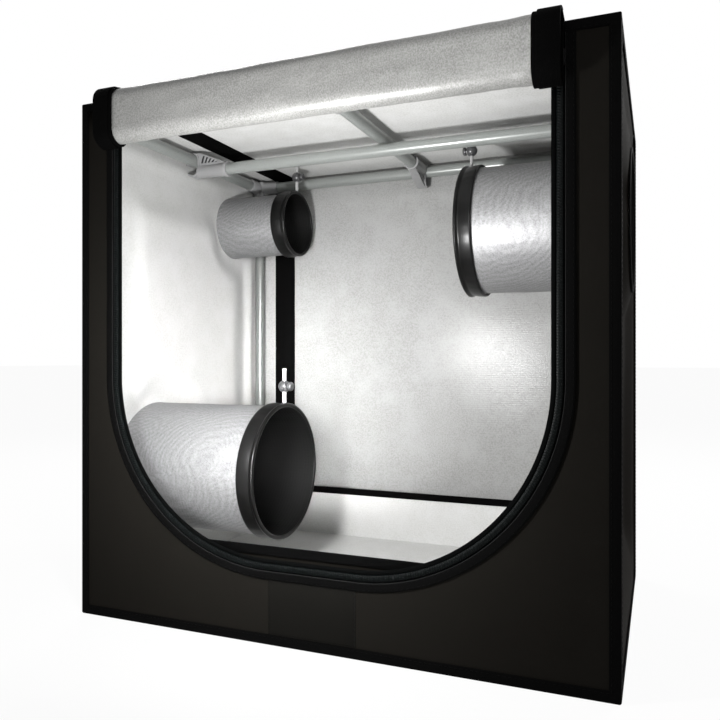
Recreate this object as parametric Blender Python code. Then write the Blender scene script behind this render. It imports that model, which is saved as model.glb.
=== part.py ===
"""Indoor grow tent of 60 by 40 by 60 cm: a fabric box on a frame of steel tubes, with its door rolled up.

Metres, +Z up. The origin is the centre of the floor's underside, and the door faces -Y.
"""

import math

import bmesh
import bpy
from mathutils import Matrix, Vector

# Whole tent
tent_width = 0.600
tent_depth = 0.400
tent_height = 0.600
seat_gap = 0.0003
cut_overrun = 0.010
weld_distance = 0.00003
smooth_angle = math.radians(35)

# Fabric shell and the tape that binds its edges
fabric_thickness = 0.0012
tape_thickness = 0.0008
binding_width = 0.0105
binding_lift = 0.0005

# Steel tubes and the plastic corner connectors
tube_radius = 0.008
tube_wall = 0.0008
tube_sides = 16
frame_inset = 0.019
tube_stop = 0.0095
socket_wall = 0.0012
socket_reach = 0.034
hub_half = 0.0102
hub_bevel = 0.0018

# Hanging bars and the clips that carry them on the top rails
clip_loop_wall = 0.0024
clip_loop_half_height = 0.0172
clip_loop_half_depth = 0.0075
clip_socket_offset = 0.009
clip_length = 0.055
clip_tube_stop = 0.017
clip_collar_length = 0.0045
clip_collar_rise = 0.0014
clip_plate_half_depth = 0.006
clip_plate_start = 0.004
clip_socket_start = 0.008
clip_shoulder = 0.012
clip_loop_mouth = 0.012
clip_slot_count = 5
clip_slot_pitch = 0.0056
clip_slot_width = 0.0030
clip_slot_depth = 0.0024
clip_slot_margin = 0.0016
clip_slot_slant = 0.0030
clip_end_steps = 8

# Door opening, a U with round lower corners, and the zip round it
opening_side_margin = 0.0595
opening_corner_radius = 0.190
opening_foot = 0.090
opening_corner_steps = 10
panel_edge_cover = 0.0020
zip_tape_width = 0.0215
zip_fold_start = 0.0124
zip_fold_rise = 0.0006
zip_coil_start = 0.0048
zip_coil_width = 0.0056
zip_coil_height = 0.0028

# Zip sliders and their pull tabs
slider_length = 0.014
slider_wall = 0.0011
slider_park_drop = 0.033
bail_half_span = 0.0040
bail_post = 0.0010
bail_half_width = 0.0009
bail_clear_height = 0.0014
bail_bar = 0.0008
tab_half_width = 0.0035
tab_length = 0.020
tab_thickness = 0.0008
tab_grip = 0.0015
tab_hole_half_width = 0.0015
tab_hole_length = 0.0060
tab_round_steps = 6

# Rolled door and its two straps
roll_side_margin = 0.055
roll_rise = 0.002
roll_seam_drop = 0.002
roll_height = 0.0632
roll_stand_off = 0.0089
roll_depth = 0.0221
roll_front_corner = 0.015
roll_back_corner = 0.006
roll_layer_gap = 0.0006
roll_turns = 5
roll_corner_steps = 3
roll_least_corner = 0.0010
strap_thickness = 0.0014
strap_width = 0.025
strap_overhang = 0.0075
band_least_cosine = math.cos(math.radians(60))

# Duct sleeves: each is sewn into a side wall, with a flange outside, and ends in a cuff with a drawcord
sleeve_sides = 32
port_flange_width = 0.0045
port_flange_thickness = 0.0008
large_sleeve_radius = 0.081
large_sleeve_length = 0.1977
large_cuff_flare = 0.0035
small_sleeve_radius = 0.047
small_sleeve_length = 0.1177
small_cuff_flare = 0.0025
lower_left_from_front = 0.137
lower_left_height = 0.1602
upper_left_from_rear = 0.0755
upper_left_drop = 0.093
upper_right_from_rear = 0.135
upper_right_drop = 0.135
cuff_width = 0.0225
cuff_thickness = 0.0014
cuff_lip_width = 0.0045
cuff_lip_inset = 0.0006
cord_radius = 0.0023
cord_inset = 0.0035
cord_sides_resolution = 2
cord_step = 0.005

# Cord locks
lock_radius = 0.0075
lock_segments = 16
lock_rings = 8
lock_floor = 0.0056
plunger_radius = 0.0036
plunger_travel = 0.0018
plunger_back = 0.0010
button_radius = 0.0055
button_thickness = 0.0040
button_bevel = 0.0010

# Floor tray and its hem
tray_inset = 0.0025
tray_height = 0.0738
tray_corner_clearance = 0.0008
hem_height = 0.0085
hem_thickness = 0.0010
sleeve_clearance = 0.0020

# Webbing strips on the rear wall and the roof
webbing_width = 0.036
webbing_side_margin = 0.0575
webbing_thickness = 0.0012
webbing_foot = 0.004
webbing_bend = 0.004
webbing_bend_steps = 3

# Places worked out from the sizes above
half_width = tent_width / 2
half_depth = tent_depth / 2
skin_inset = tape_thickness + seat_gap
wall_inset = skin_inset + fabric_thickness
skin_x = half_width - skin_inset
skin_y = half_depth - skin_inset
wall_x = half_width - wall_inset
wall_y = half_depth - wall_inset
roof_underside = tent_height - wall_inset
wall_bottom = fabric_thickness + seat_gap
wall_top = roof_underside - seat_gap
post_x = half_width - frame_inset
post_y = half_depth - frame_inset
top_rail_z = tent_height - frame_inset
bottom_rail_z = wall_bottom + hub_half
bore_radius = tube_radius + seat_gap
socket_radius = bore_radius + socket_wall
opening_half_width = half_width - opening_side_margin
opening_corner_height = opening_foot + opening_corner_radius
corner_centre_x = opening_half_width - opening_corner_radius
slider_park_height = tent_height - slider_park_drop
roll_half_length = half_width - roll_side_margin
roll_top = tent_height + roll_rise
roll_seam = tent_height - roll_seam_drop
roll_bottom = roll_top - roll_height
roll_back = half_depth + roll_stand_off
roll_front = roll_back + roll_depth
webbing_centre = half_width - webbing_side_margin
loop_inner_half_height = clip_loop_half_height - clip_loop_wall
loop_centre_z = top_rail_z + bore_radius - loop_inner_half_height
crossbar_z = loop_centre_z - clip_socket_offset
centre_bar_z = loop_centre_z + clip_socket_offset
tray_floor_z = bottom_rail_z + hub_half + seat_gap
tray_top = tray_floor_z + tray_height

# Each sleeve: side of the tent, its axis in Y and Z, outer radius, the distance of its end from the middle,
# the cuff's flare, the drawcord's length above the cuff, and the height of the lock's middle above the cuff
sleeves = {
    "lower_left": dict(
        side=-1, y=lower_left_from_front - half_depth, z=lower_left_height, radius=large_sleeve_radius,
        end=wall_x - large_sleeve_length, flare=large_cuff_flare, cord=0.0430, lock=0.0205,
    ),
    "upper_left": dict(
        side=-1, y=half_depth - upper_left_from_rear, z=tent_height - upper_left_drop,
        radius=small_sleeve_radius, end=wall_x - small_sleeve_length, flare=small_cuff_flare,
        cord=0.0397, lock=0.0217,
    ),
    "upper_right": dict(
        side=1, y=half_depth - upper_right_from_rear, z=tent_height - upper_right_drop,
        radius=large_sleeve_radius, end=wall_x - large_sleeve_length, flare=large_cuff_flare,
        cord=0.0422, lock=0.0217,
    ),
}


def clear_scene():
    for old in list(bpy.data.objects):
        bpy.data.objects.remove(old)


def surface(name, colour, roughness, metallic=0):
    """A Principled material of one colour."""
    material = bpy.data.materials.new(name)
    material.use_nodes = True
    shader = material.node_tree.nodes["Principled BSDF"]
    shader.inputs["Base Color"].default_value = (*colour, 1)
    shader.inputs["Roughness"].default_value = roughness
    shader.inputs["Metallic"].default_value = metallic
    material.diffuse_color = (*colour, 1)
    return material


def add_object(name, bm, material):
    """Links the bmesh as a new object, with its faces turned outwards."""
    bmesh.ops.recalc_face_normals(bm, faces=bm.faces)
    mesh = bpy.data.meshes.new(name)
    bm.to_mesh(mesh)
    bm.free()
    return place_mesh(name, mesh, material)


def place_mesh(name, mesh, material):
    piece = bpy.data.objects.new(name, mesh)
    bpy.context.scene.collection.objects.link(piece)
    if material:
        mesh.materials.clear()
        mesh.materials.append(material)
    return piece


def as_helper(piece):
    """Marks an object that only cuts or joins others."""
    piece.hide_render = True
    piece.display_type = "WIRE"
    return piece


def combine(piece, other, operation):
    modifier = piece.modifiers.new(other.name, "BOOLEAN")
    modifier.operation = operation
    modifier.solver = "EXACT"
    modifier.object = as_helper(other)


def cut(piece, other):
    combine(piece, other, "DIFFERENCE")


def join(piece, other):
    combine(piece, other, "UNION")


def modified_mesh(piece):
    """A copy of the object's mesh with its modifiers applied."""
    bpy.context.view_layer.update()
    evaluated = piece.evaluated_get(bpy.context.evaluated_depsgraph_get())
    return bpy.data.meshes.new_from_object(evaluated)


def baked_mesh(piece):
    """The mesh of an object with its modifiers applied; the object and its helpers are removed."""
    mesh = modified_mesh(piece)
    helpers = [modifier.object for modifier in piece.modifiers]
    for done in [piece, *helpers]:
        bpy.data.objects.remove(done)
    return mesh


def smooth(piece):
    piece.data.shade_smooth()
    piece.data.set_sharp_from_angle(angle=smooth_angle)
    return piece


def on_axis(axis, along, u, v):
    """The point at (u, v) across an axis and along it: X takes (y, z), Y takes (x, z) and Z takes (x, y)."""
    return {"X": (along, u, v), "Y": (u, along, v), "Z": (u, v, along)}[axis]


def box(name, low, high, material=None):
    bm = bmesh.new()
    bmesh.ops.create_cube(bm, size=1)
    for vert in bm.verts:
        vert.co = [low[i] if vert.co[i] < 0 else high[i] for i in range(3)]
    return add_object(name, bm, material)


def prism(name, outline, axis, low, high, material=None):
    """A closed outline of (u, v) points, extruded along an axis from low to high."""
    bm = bmesh.new()
    face = bm.faces.new([bm.verts.new(on_axis(axis, low, u, v)) for u, v in outline])
    grown = bmesh.ops.extrude_face_region(bm, geom=[face])
    moved = [g for g in grown["geom"] if isinstance(g, bmesh.types.BMVert)]
    bmesh.ops.translate(bm, verts=moved, vec=on_axis(axis, high - low, 0, 0))
    return add_object(name, bm, material)


def cylinder(name, axis, low, high, u, v, radius, sides, material=None):
    ring = [
        (u + radius * math.cos(math.tau * i / sides), v + radius * math.sin(math.tau * i / sides))
        for i in range(sides)
    ]
    return prism(name, ring, axis, low, high, material)


def turned(name, profile, axis, u, v, sides, material=None):
    """A closed profile of (along, radius) points, spun about an axis that runs through (u, v)."""
    bm = bmesh.new()
    verts = [bm.verts.new(on_axis(axis, along, u + radius, v)) for along, radius in profile]
    edges = [bm.edges.new((verts[i - 1], verts[i])) for i in range(len(verts))]
    direction = on_axis(axis, 1, 0, 0)
    bmesh.ops.spin(
        bm, geom=verts + edges, cent=on_axis(axis, 0, u, v), axis=direction,
        angle=math.tau, steps=sides, use_merge=True,
    )
    bmesh.ops.remove_doubles(bm, verts=bm.verts, dist=weld_distance)
    return smooth(add_object(name, bm, material))


def pipe(name, axis, low, high, u, v, material):
    """A steel tube along an axis, open through its length."""
    inner = tube_radius - tube_wall
    profile = [(low, inner), (low, tube_radius), (high, tube_radius), (high, inner)]
    return turned(name, profile, axis, u, v, tube_sides, material)


def strip(name, path, thickness, low, high, material):
    """A band of one thickness that follows a path of (y, z) points, with its width along X."""
    bm = bmesh.new()
    points = [Vector(p) for p in path]
    rows = []
    for i, point in enumerate(points):
        before = (point - points[i - 1]).normalized() if i else Vector((0, 0))
        after = (points[i + 1] - point).normalized() if i + 1 < len(points) else Vector((0, 0))
        along = (before + after).normalized()
        leg = after if i == 0 else before
        normal = Vector((-along.y, along.x)) * (thickness / 2 / max(along.dot(leg), band_least_cosine))
        rows.append([
            bm.verts.new((x, *(point + side * normal)))
            for x, side in ((low, -1), (low, 1), (high, 1), (high, -1))
        ])
    skin_rows(bm, rows, closed=False)
    return add_object(name, bm, material)


def skin_rows(bm, rows, closed):
    """Quads between successive rings of points, with an end face at each open end."""
    count = len(rows[0])
    pairs = list(zip(rows, rows[1:]))
    if closed:
        pairs.append((rows[-1], rows[0]))
    for ring, following in pairs:
        for i in range(count):
            bm.faces.new((ring[i - 1], ring[i], following[i], following[i - 1]))
    if not closed:
        bm.faces.new(rows[0])
        bm.faces.new(list(reversed(rows[-1])))


def arc(centre, radius, start, end, steps):
    """Points of a circular arc between two angles in degrees, both ends included."""
    angles = [math.radians(start + (end - start) * i / steps) for i in range(steps + 1)]
    return [(centre[0] + radius * math.cos(a), centre[1] + radius * math.sin(a)) for a in angles]


def opening_outline(offset, top):
    """The U of the door opening, grown outwards by offset, from its top left round to its top right."""
    radius = opening_corner_radius + offset
    left = arc((-corner_centre_x, opening_corner_height), radius, 180, 270, opening_corner_steps)
    right = arc((corner_centre_x, opening_corner_height), radius, 270, 360, opening_corner_steps)
    edge = opening_half_width + offset
    return [(-edge, top), *left, *right, (edge, top)]


def make_shell(outer_fabric, tape):
    """Six fabric panels and the tape that binds the edges between them."""
    box("floor_panel", (-skin_x, -skin_y, 0), (skin_x, skin_y, fabric_thickness), outer_fabric)
    box("roof_panel", (-skin_x, -skin_y, roof_underside), (skin_x, skin_y, tent_height - skin_inset),
        outer_fabric)
    box("back_panel", (-skin_x, wall_y, wall_bottom), (skin_x, skin_y, wall_top), outer_fabric)
    cutout = opening_outline(panel_edge_cover, wall_top)
    outline = [(-skin_x, wall_top), (-skin_x, wall_bottom), (skin_x, wall_bottom), (skin_x, wall_top)]
    prism("front_panel", outline + list(reversed(cutout)), "Y", -skin_y, -wall_y, outer_fabric)
    side_y = wall_y - seat_gap
    for name, side in (("left_panel", -1), ("right_panel", 1)):
        low_x, high_x = sorted((side * wall_x, side * skin_x))
        panel = box(name, (low_x, -side_y, wall_bottom), (high_x, side_y, wall_top), outer_fabric)
        for place, sleeve in sleeves.items():
            if sleeve["side"] == side:
                cut(panel, cylinder(
                    f"{place}_port", "X", low_x - cut_overrun, high_x + cut_overrun, sleeve["y"], sleeve["z"],
                    sleeve["radius"] + seat_gap, sleeve_sides,
                ))
    make_edge_binding(tape)


def make_edge_binding(tape):
    """One cage of folded tape over the twelve edges: the outer box less its inside and six windows."""
    binding = box("edge_binding", (-half_width, -half_depth, binding_lift),
                  (half_width, half_depth, tent_height), tape)
    inner_x, inner_y = half_width - tape_thickness, half_depth - tape_thickness
    window_x, window_y = half_width - binding_width, half_depth - binding_width
    window_top = tent_height - binding_width
    past_x, past_y, past_z = (size + cut_overrun for size in (half_width, half_depth, tent_height))
    cut(binding, box("binding_inside", (-inner_x, -inner_y, -cut_overrun),
                     (inner_x, inner_y, tent_height - tape_thickness)))
    cut(binding, box("side_windows", (-past_x, -window_y, binding_width), (past_x, window_y, window_top)))
    cut(binding, box("front_windows", (-window_x, -past_y, binding_width), (window_x, past_y, window_top)))
    cut(binding, box("roof_window", (-window_x, -window_y, binding_width), (window_x, window_y, past_z)))


def make_connector_mesh(plastic):
    """A corner hub with a socket along +X, +Y and +Z, around the point where the three tubes' axes meet."""
    hub = box("connector", (-hub_half,) * 3, (hub_half,) * 3, plastic)
    bevel = hub.modifiers.new("rounding", "BEVEL")
    bevel.width = hub_bevel
    bevel.segments = 1
    hub.data = modified_mesh(hub)
    hub.modifiers.clear()
    for axis in "XYZ":
        join(hub, cylinder(f"socket_{axis}", axis, tube_radius, socket_reach, 0, 0, socket_radius,
                           tube_sides))
    for axis in "XYZ":
        cut(hub, cylinder(f"bore_{axis}", axis, tube_stop - seat_gap, socket_reach + cut_overrun, 0, 0,
                          bore_radius, tube_sides))
    return baked_mesh(hub)


def corner_turn(directions):
    """The rotation that turns sockets along +X, +Y and +Z to the given signs of X, Y and Z."""
    x, y, z = directions
    if x * y * z > 0:
        return Matrix(((x, 0, 0), (0, y, 0), (0, 0, z))).to_4x4()
    return Matrix(((0, x, 0), (y, 0, 0), (0, 0, z))).to_4x4()


def make_frame(steel, plastic):
    """Eight corner connectors and the twelve tubes that seat in them."""
    connector = make_connector_mesh(plastic)
    levels = {"bottom": bottom_rail_z, "top": top_rail_z}
    for level, z in levels.items():
        up = 1 if level == "bottom" else -1
        for end, y_side in (("front", -1), ("rear", 1)):
            for hand, x_side in (("left", -1), ("right", 1)):
                corner = place_mesh(f"corner_{level}_{end}_{hand}", connector, plastic)
                corner.matrix_world = (
                    Matrix.Translation((x_side * post_x, y_side * post_y, z))
                    @ corner_turn((-x_side, -y_side, up))
                )
            pipe(f"{level}_rail_{end}", "X", -post_x + tube_stop, post_x - tube_stop,
                 y_side * post_y, z, steel)
        for hand, x_side in (("left", -1), ("right", 1)):
            pipe(f"{level}_rail_{hand}", "Y", -post_y + tube_stop, post_y - tube_stop,
                 x_side * post_x, z, steel)
    for end, y_side in (("front", -1), ("rear", 1)):
        for hand, x_side in (("left", -1), ("right", 1)):
            pipe(f"upright_{end}_{hand}", "Z", bottom_rail_z + tube_stop, top_rail_z - tube_stop,
                 x_side * post_x, y_side * post_y, steel)


def stadium(half_breadth, half_rise):
    """An upright outline with round ends, centred on the origin."""
    rise = half_rise - half_breadth
    over = arc((0, rise), half_breadth, 0, 180, clip_end_steps)
    under = arc((0, -rise), half_breadth, 180, 360, clip_end_steps)
    return over + under


def make_clip_mesh(plastic):
    """A bar clip: U runs from the rail along the bar, V is up and the rail runs along Y through the loop.

    The loop hangs on the rail, a ribbed web joins it to the socket, and the socket holds the bar's end.
    """
    loop_half = bore_radius + clip_loop_wall
    collar_radius = socket_radius + clip_collar_rise
    drop = -clip_socket_offset
    web_top = clip_loop_half_height - clip_loop_wall / 2
    collar_start = clip_length - clip_collar_length
    web = [
        (clip_plate_start, web_top), (clip_shoulder, web_top),
        (collar_start + seat_gap, drop + socket_radius), (collar_start + seat_gap, drop - socket_wall),
        (clip_plate_start, -web_top),
    ]
    clip = prism("clip", stadium(loop_half, clip_loop_half_height), "Y",
                 -clip_loop_half_depth, clip_loop_half_depth, plastic)
    join(clip, prism("clip_web", web, "Y", -clip_plate_half_depth, clip_plate_half_depth))
    join(clip, cylinder("clip_socket", "X", clip_socket_start, clip_length, 0, drop,
                        socket_radius, tube_sides))
    join(clip, cylinder("clip_collar", "X", collar_start, clip_length + seat_gap, 0, drop,
                        collar_radius, tube_sides))
    cut(clip, prism("clip_hollow", stadium(bore_radius, loop_inner_half_height), "Y",
                    -clip_loop_half_depth - cut_overrun, clip_loop_half_depth + cut_overrun))
    cut(clip, cylinder("clip_bore", "X", clip_tube_stop - seat_gap, clip_length + cut_overrun, 0, drop,
                       bore_radius, tube_sides))
    cut(clip, box("clip_mouth", (-loop_half - cut_overrun, -clip_loop_half_depth - cut_overrun,
                                 -clip_loop_mouth),
                  (-bore_radius / 2, clip_loop_half_depth + cut_overrun, 0)))
    cut_clip_slots(clip, drop + socket_radius, web_top, collar_start)
    return baked_mesh(clip)


def cut_clip_slots(clip, low, high, collar_start):
    """Slanted slots between ribs, on both faces of the web, each as tall as the sloping web allows."""
    fall = (high - low) / (collar_start - clip_shoulder)
    for i in range(clip_slot_count):
        start = clip_shoulder + clip_slot_margin + i * clip_slot_pitch
        end = start + clip_slot_width
        top = high - (end + clip_slot_slant - clip_shoulder) * fall - clip_slot_margin
        base = low + clip_slot_margin / 2
        outline = [(start, base), (end, base), (end + clip_slot_slant, top), (start + clip_slot_slant, top)]
        inner = clip_plate_half_depth - clip_slot_depth
        outer = clip_plate_half_depth + cut_overrun
        cut(clip, prism(f"slot_{i}_front", outline, "Y", -outer, -inner))
        cut(clip, prism(f"slot_{i}_back", outline, "Y", inner, outer))


def make_bars(steel, plastic):
    """The crossbar hangs under the side rails, and the centre bar rests between the front and rear rails."""
    clip = make_clip_mesh(plastic)
    pipe("crossbar_tube", "X", -post_x + clip_tube_stop, post_x - clip_tube_stop, 0, crossbar_z, steel)
    pipe("centre_bar_tube", "Y", -post_y + clip_tube_stop, post_y - clip_tube_stop, 0, centre_bar_z, steel)
    flip = Matrix.Rotation(math.pi, 4, "X")
    places = {
        "crossbar_clip_left": ((-post_x, 0), 0, Matrix()),
        "crossbar_clip_right": ((post_x, 0), math.pi, Matrix()),
        "centre_bar_clip_front": ((0, -post_y), math.pi / 2, flip),
        "centre_bar_clip_rear": ((0, post_y), -math.pi / 2, flip),
    }
    for name, ((x, y), turn, tilt) in places.items():
        piece = place_mesh(name, clip, plastic)
        piece.matrix_world = Matrix.Translation((x, y, loop_centre_z)) @ Matrix.Rotation(turn, 4, "Z") @ tilt


def make_zip(tape, metal):
    """The zip tape with its coil round the opening, and a slider with a pull tab at each top end."""
    back = -(half_depth - tape_thickness)
    face = -half_depth
    coil_middle = zip_coil_start + zip_coil_width / 2
    shoulder = zip_coil_width / 4
    profile = [
        (0, back), (zip_tape_width, back), (zip_tape_width, face - zip_fold_rise),
        (zip_fold_start, face - zip_fold_rise), (zip_fold_start, face),
        (zip_coil_start + zip_coil_width, face),
        (zip_coil_start + zip_coil_width, face - zip_coil_height / 2),
        (coil_middle + shoulder, face - zip_coil_height), (coil_middle - shoulder, face - zip_coil_height),
        (zip_coil_start, face - zip_coil_height / 2), (zip_coil_start, face), (0, face),
    ]
    top = tent_height - binding_width - seat_gap
    outlines = [opening_outline(offset, top) for offset, _ in profile]
    bm = bmesh.new()
    rows = [
        [bm.verts.new((outline[i][0], y, outline[i][1])) for outline, (_, y) in zip(outlines, profile)]
        for i in range(len(outlines[0]))
    ]
    skin_rows(bm, rows, closed=False)
    add_object("zip_chain", bm, tape)
    for hand, side in (("left", -1), ("right", 1)):
        make_slider(hand, side * (opening_half_width + coil_middle), metal)


def make_slider(hand, x, metal):
    """A slider that straddles the coil, with a bail over it and a pull tab hung on the bail."""
    z = slider_park_height
    half_length = slider_length / 2
    back = -(half_depth + seat_gap)
    channel = zip_coil_width / 2 + seat_gap
    outer = channel + slider_wall
    roof_in = -(half_depth + zip_coil_height + seat_gap)
    roof_out = roof_in - slider_wall
    outline = [
        (x - outer, back), (x - channel, back), (x - channel, roof_in), (x + channel, roof_in),
        (x + channel, back), (x + outer, back), (x + outer, roof_out), (x - outer, roof_out),
    ]
    slider = prism(f"zip_slider_{hand}", outline, "Z", z - half_length, z + half_length, metal)
    bail_inner = roof_out - bail_clear_height
    bail = [
        (roof_out + seat_gap, z - bail_half_span), (bail_inner - bail_bar, z - bail_half_span),
        (bail_inner - bail_bar, z + bail_half_span), (roof_out + seat_gap, z + bail_half_span),
        (roof_out + seat_gap, z + bail_half_span - bail_post), (bail_inner, z + bail_half_span - bail_post),
        (bail_inner, z - bail_half_span + bail_post), (roof_out + seat_gap, z - bail_half_span + bail_post),
    ]
    join(slider, prism(f"bail_{hand}", bail, "X", x - bail_half_width, x + bail_half_width))
    tab_far = roof_out - (bail_clear_height + tab_thickness) / 2
    end_z = z + tab_grip - tab_length + tab_half_width
    plate = [(x + tab_half_width, z + tab_grip), (x - tab_half_width, z + tab_grip)]
    plate += arc((x, end_z), tab_half_width, 180, 360, tab_round_steps)
    tab = prism(f"pull_tab_{hand}", plate, "Y", tab_far, tab_far + tab_thickness, metal)
    cut(tab, box(
        f"tab_hole_{hand}",
        (x - tab_hole_half_width, tab_far - cut_overrun, z - tab_grip - tab_hole_length),
        (x + tab_hole_half_width, tab_far + cut_overrun, z - tab_grip),
    ))


def roll_corners(inset):
    """The four corners of the roll's section in winding order, as (y, z) points, drawn in by inset.

    Seen along X: top front, bottom front, bottom rear and top rear.
    """
    front, back = -roll_front + inset, -roll_back - inset
    top, bottom = roll_top - inset, roll_bottom + inset
    front_r = max(roll_front_corner - inset, roll_least_corner)
    back_r = max(roll_back_corner - inset, roll_least_corner)
    steps = roll_corner_steps
    return [
        arc((front + front_r, top - front_r), front_r, 90, 180, steps),
        arc((front + front_r, bottom + front_r), front_r, 180, 270, steps),
        arc((back - back_r, bottom + back_r), back_r, 270, 360, steps),
        arc((back - back_r, top - back_r), back_r, 0, 90, steps),
    ]


def roll_path():
    """The door's centre line: from the seam over the roll's top, then wound inwards."""
    pitch = fabric_thickness + roll_layer_gap
    first = fabric_thickness / 2
    per_corner = roll_corner_steps + 1
    path = [(-half_depth - seat_gap, roll_seam - first)]
    for turn in range(roll_turns):
        for corner in range(4):
            for step in range(per_corner):
                done = turn + (corner * per_corner + step) / (4 * per_corner)
                path.append(roll_corners(first + pitch * done)[corner][step])
    return path


def make_door(lining, strap_fabric):
    """The rolled-up door and the two straps that hold it."""
    strip("door_roll", roll_path(), fabric_thickness, -roll_half_length, roll_half_length, lining)
    outset = -(seat_gap + strap_thickness / 2)
    top_front, bottom_front, bottom_rear, top_rear = roll_corners(outset)
    start = (-half_depth - seat_gap, roll_seam - outset)
    end = (bottom_rear[-1][0], roll_top - roll_back_corner - strap_thickness)
    path = [start, *top_front, *bottom_front, *bottom_rear, end]
    outer_edge = roll_half_length + strap_overhang
    for hand, side in (("left", -1), ("right", 1)):
        low, high = sorted((side * (outer_edge - strap_width), side * outer_edge))
        strip(f"strap_{hand}", path, strap_thickness, low, high, strap_fabric)


def make_sleeve(place, sleeve, liner, cuff_material, cord_material, plastic):
    """One duct sleeve with its cuff, drawcord and cord lock."""
    side, y, z, radius = sleeve["side"], sleeve["y"], sleeve["z"], sleeve["radius"]
    outside = side * (skin_x + seat_gap + port_flange_thickness)
    flange_back = side * (skin_x + seat_gap)
    end = side * sleeve["end"]
    edge = end + side * (cuff_thickness + seat_gap)
    inner = radius - fabric_thickness
    flange = radius + port_flange_width
    tube = [
        (outside, inner), (outside, flange), (flange_back, flange), (flange_back, radius),
        (edge, radius), (edge, inner),
    ]
    turned(f"sleeve_{place}", tube, "X", y, z, sleeve_sides, liner)
    band = radius + seat_gap + cuff_thickness
    lip = radius + sleeve["flare"]
    lip_start = end + side * cuff_lip_width
    lip_middle = (lip + inner) / 2
    profile = [
        (end + side * cuff_width, radius + seat_gap), (end + side * cuff_width, band),
        (lip_start, band), (lip_start - side * cuff_lip_inset, lip - cuff_lip_inset),
        (end + side * cuff_lip_width / 2, lip), (end + side * cuff_lip_inset, lip - cuff_lip_inset),
        (end, lip_middle), (end + side * cuff_lip_inset, inner - cuff_lip_inset),
        (end + side * cuff_thickness, inner - cuff_lip_inset),
        (end + side * cuff_thickness, radius + seat_gap),
    ]
    turned(f"cuff_{place}", profile, "X", y, z, sleeve_sides, cuff_material)
    cord_x = end + side * cord_inset
    base = z + lip + seat_gap
    make_cord(place, cord_x, y, base, sleeve["cord"], cord_material)
    make_cord_lock(place, Vector((cord_x, y, base + sleeve["lock"])), -side, plastic)


def make_cord(place, x, y, base, length, material):
    """The drawcord's tail, which stands up out of the cuff."""
    curve = bpy.data.curves.new(f"drawcord_{place}", "CURVE")
    curve.dimensions = "3D"
    curve.bevel_depth = cord_radius
    curve.bevel_resolution = cord_sides_resolution
    curve.use_fill_caps = True
    spline = curve.splines.new("POLY")
    count = round(length / cord_step)
    spline.points.add(count)
    for i, point in enumerate(spline.points):
        point.co = (x, y, base + length * i / count, 1)
    curve.materials.append(material)
    bpy.context.scene.collection.objects.link(bpy.data.objects.new(f"drawcord_{place}", curve))


def make_cord_lock(place, centre, out, plastic):
    """A ball with a bore for the cord, and a cross bore for the plunger and its button on the side of out."""
    bore = cord_radius + seat_gap
    well = plunger_radius + seat_gap
    bm = bmesh.new()
    bmesh.ops.create_uvsphere(bm, u_segments=lock_segments, v_segments=lock_rings, radius=lock_radius)
    bmesh.ops.rotate(bm, verts=bm.verts, matrix=Matrix.Rotation(math.pi / 2, 3, "Y"))
    bmesh.ops.translate(bm, verts=bm.verts, vec=centre)
    lock = add_object(f"cord_lock_{place}", bm, plastic)
    x, y, z = centre
    past = lock_radius + cut_overrun
    seat = math.sqrt(lock_radius**2 - button_radius**2)
    flat_low, flat_high = sorted((x + out * seat, x + out * past))
    cut(lock, cylinder(f"button_flat_{place}", "X", flat_low, flat_high, y, z, past, lock_segments))
    cut(lock, cylinder(f"cord_bore_{place}", "Z", z - past, z + past, x, y, bore, lock_segments))
    low, high = sorted((x - out * lock_floor, x + out * past))
    cut(lock, cylinder(f"plunger_well_{place}", "X", low, high, y, z, well, lock_segments))
    smooth(lock)
    slot_inner = bore + plunger_back
    slot_outer = bore + plunger_travel
    head = seat + plunger_travel + seat_gap
    tip = head + button_thickness
    stem_low, stem_high = sorted((x - out * slot_inner, x + out * (tip - button_bevel)))
    button = cylinder(f"lock_button_{place}", "X", stem_low, stem_high, y, z, plunger_radius,
                      lock_segments, plastic)
    rim = [
        (x + out * head, button_radius), (x + out * (tip - button_bevel), button_radius),
        (x + out * tip, button_radius - button_bevel),
    ]
    join(button, capped_turn(f"button_head_{place}", rim, y, z))
    cut(button, box(f"plunger_slot_{place}",
                    (min(x - out * bore, x + out * slot_outer), y - bore, z - lock_radius),
                    (max(x - out * bore, x + out * slot_outer), y + bore, z + lock_radius)))
    smooth(button)


def capped_turn(name, rim, u, v):
    """A solid turned piece along X, with a ring at each (along, radius) of its rim and flat ends."""
    bm = bmesh.new()
    rings = []
    for along, radius in rim:
        angles = [math.tau * i / lock_segments for i in range(lock_segments)]
        rings.append([
            bm.verts.new((along, u + radius * math.cos(a), v + radius * math.sin(a))) for a in angles
        ])
    skin_rows(bm, rings, closed=False)
    return add_object(name, bm, None)


def tray_outline(offset):
    """The tray's plan, a rectangle whose corners are cut off to clear the uprights, grown by offset."""
    half_x = post_x - tray_inset + offset
    half_y = post_y - tray_inset + offset
    reach = post_x + post_y - math.sqrt(2) * (socket_radius + tray_corner_clearance) + math.sqrt(2) * offset
    near_x, near_y = reach - half_y, reach - half_x
    return [
        (half_x, -near_y), (half_x, near_y), (near_x, half_y), (-near_x, half_y),
        (-half_x, near_y), (-half_x, -near_y), (-near_x, -half_y), (near_x, -half_y),
    ]


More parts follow.
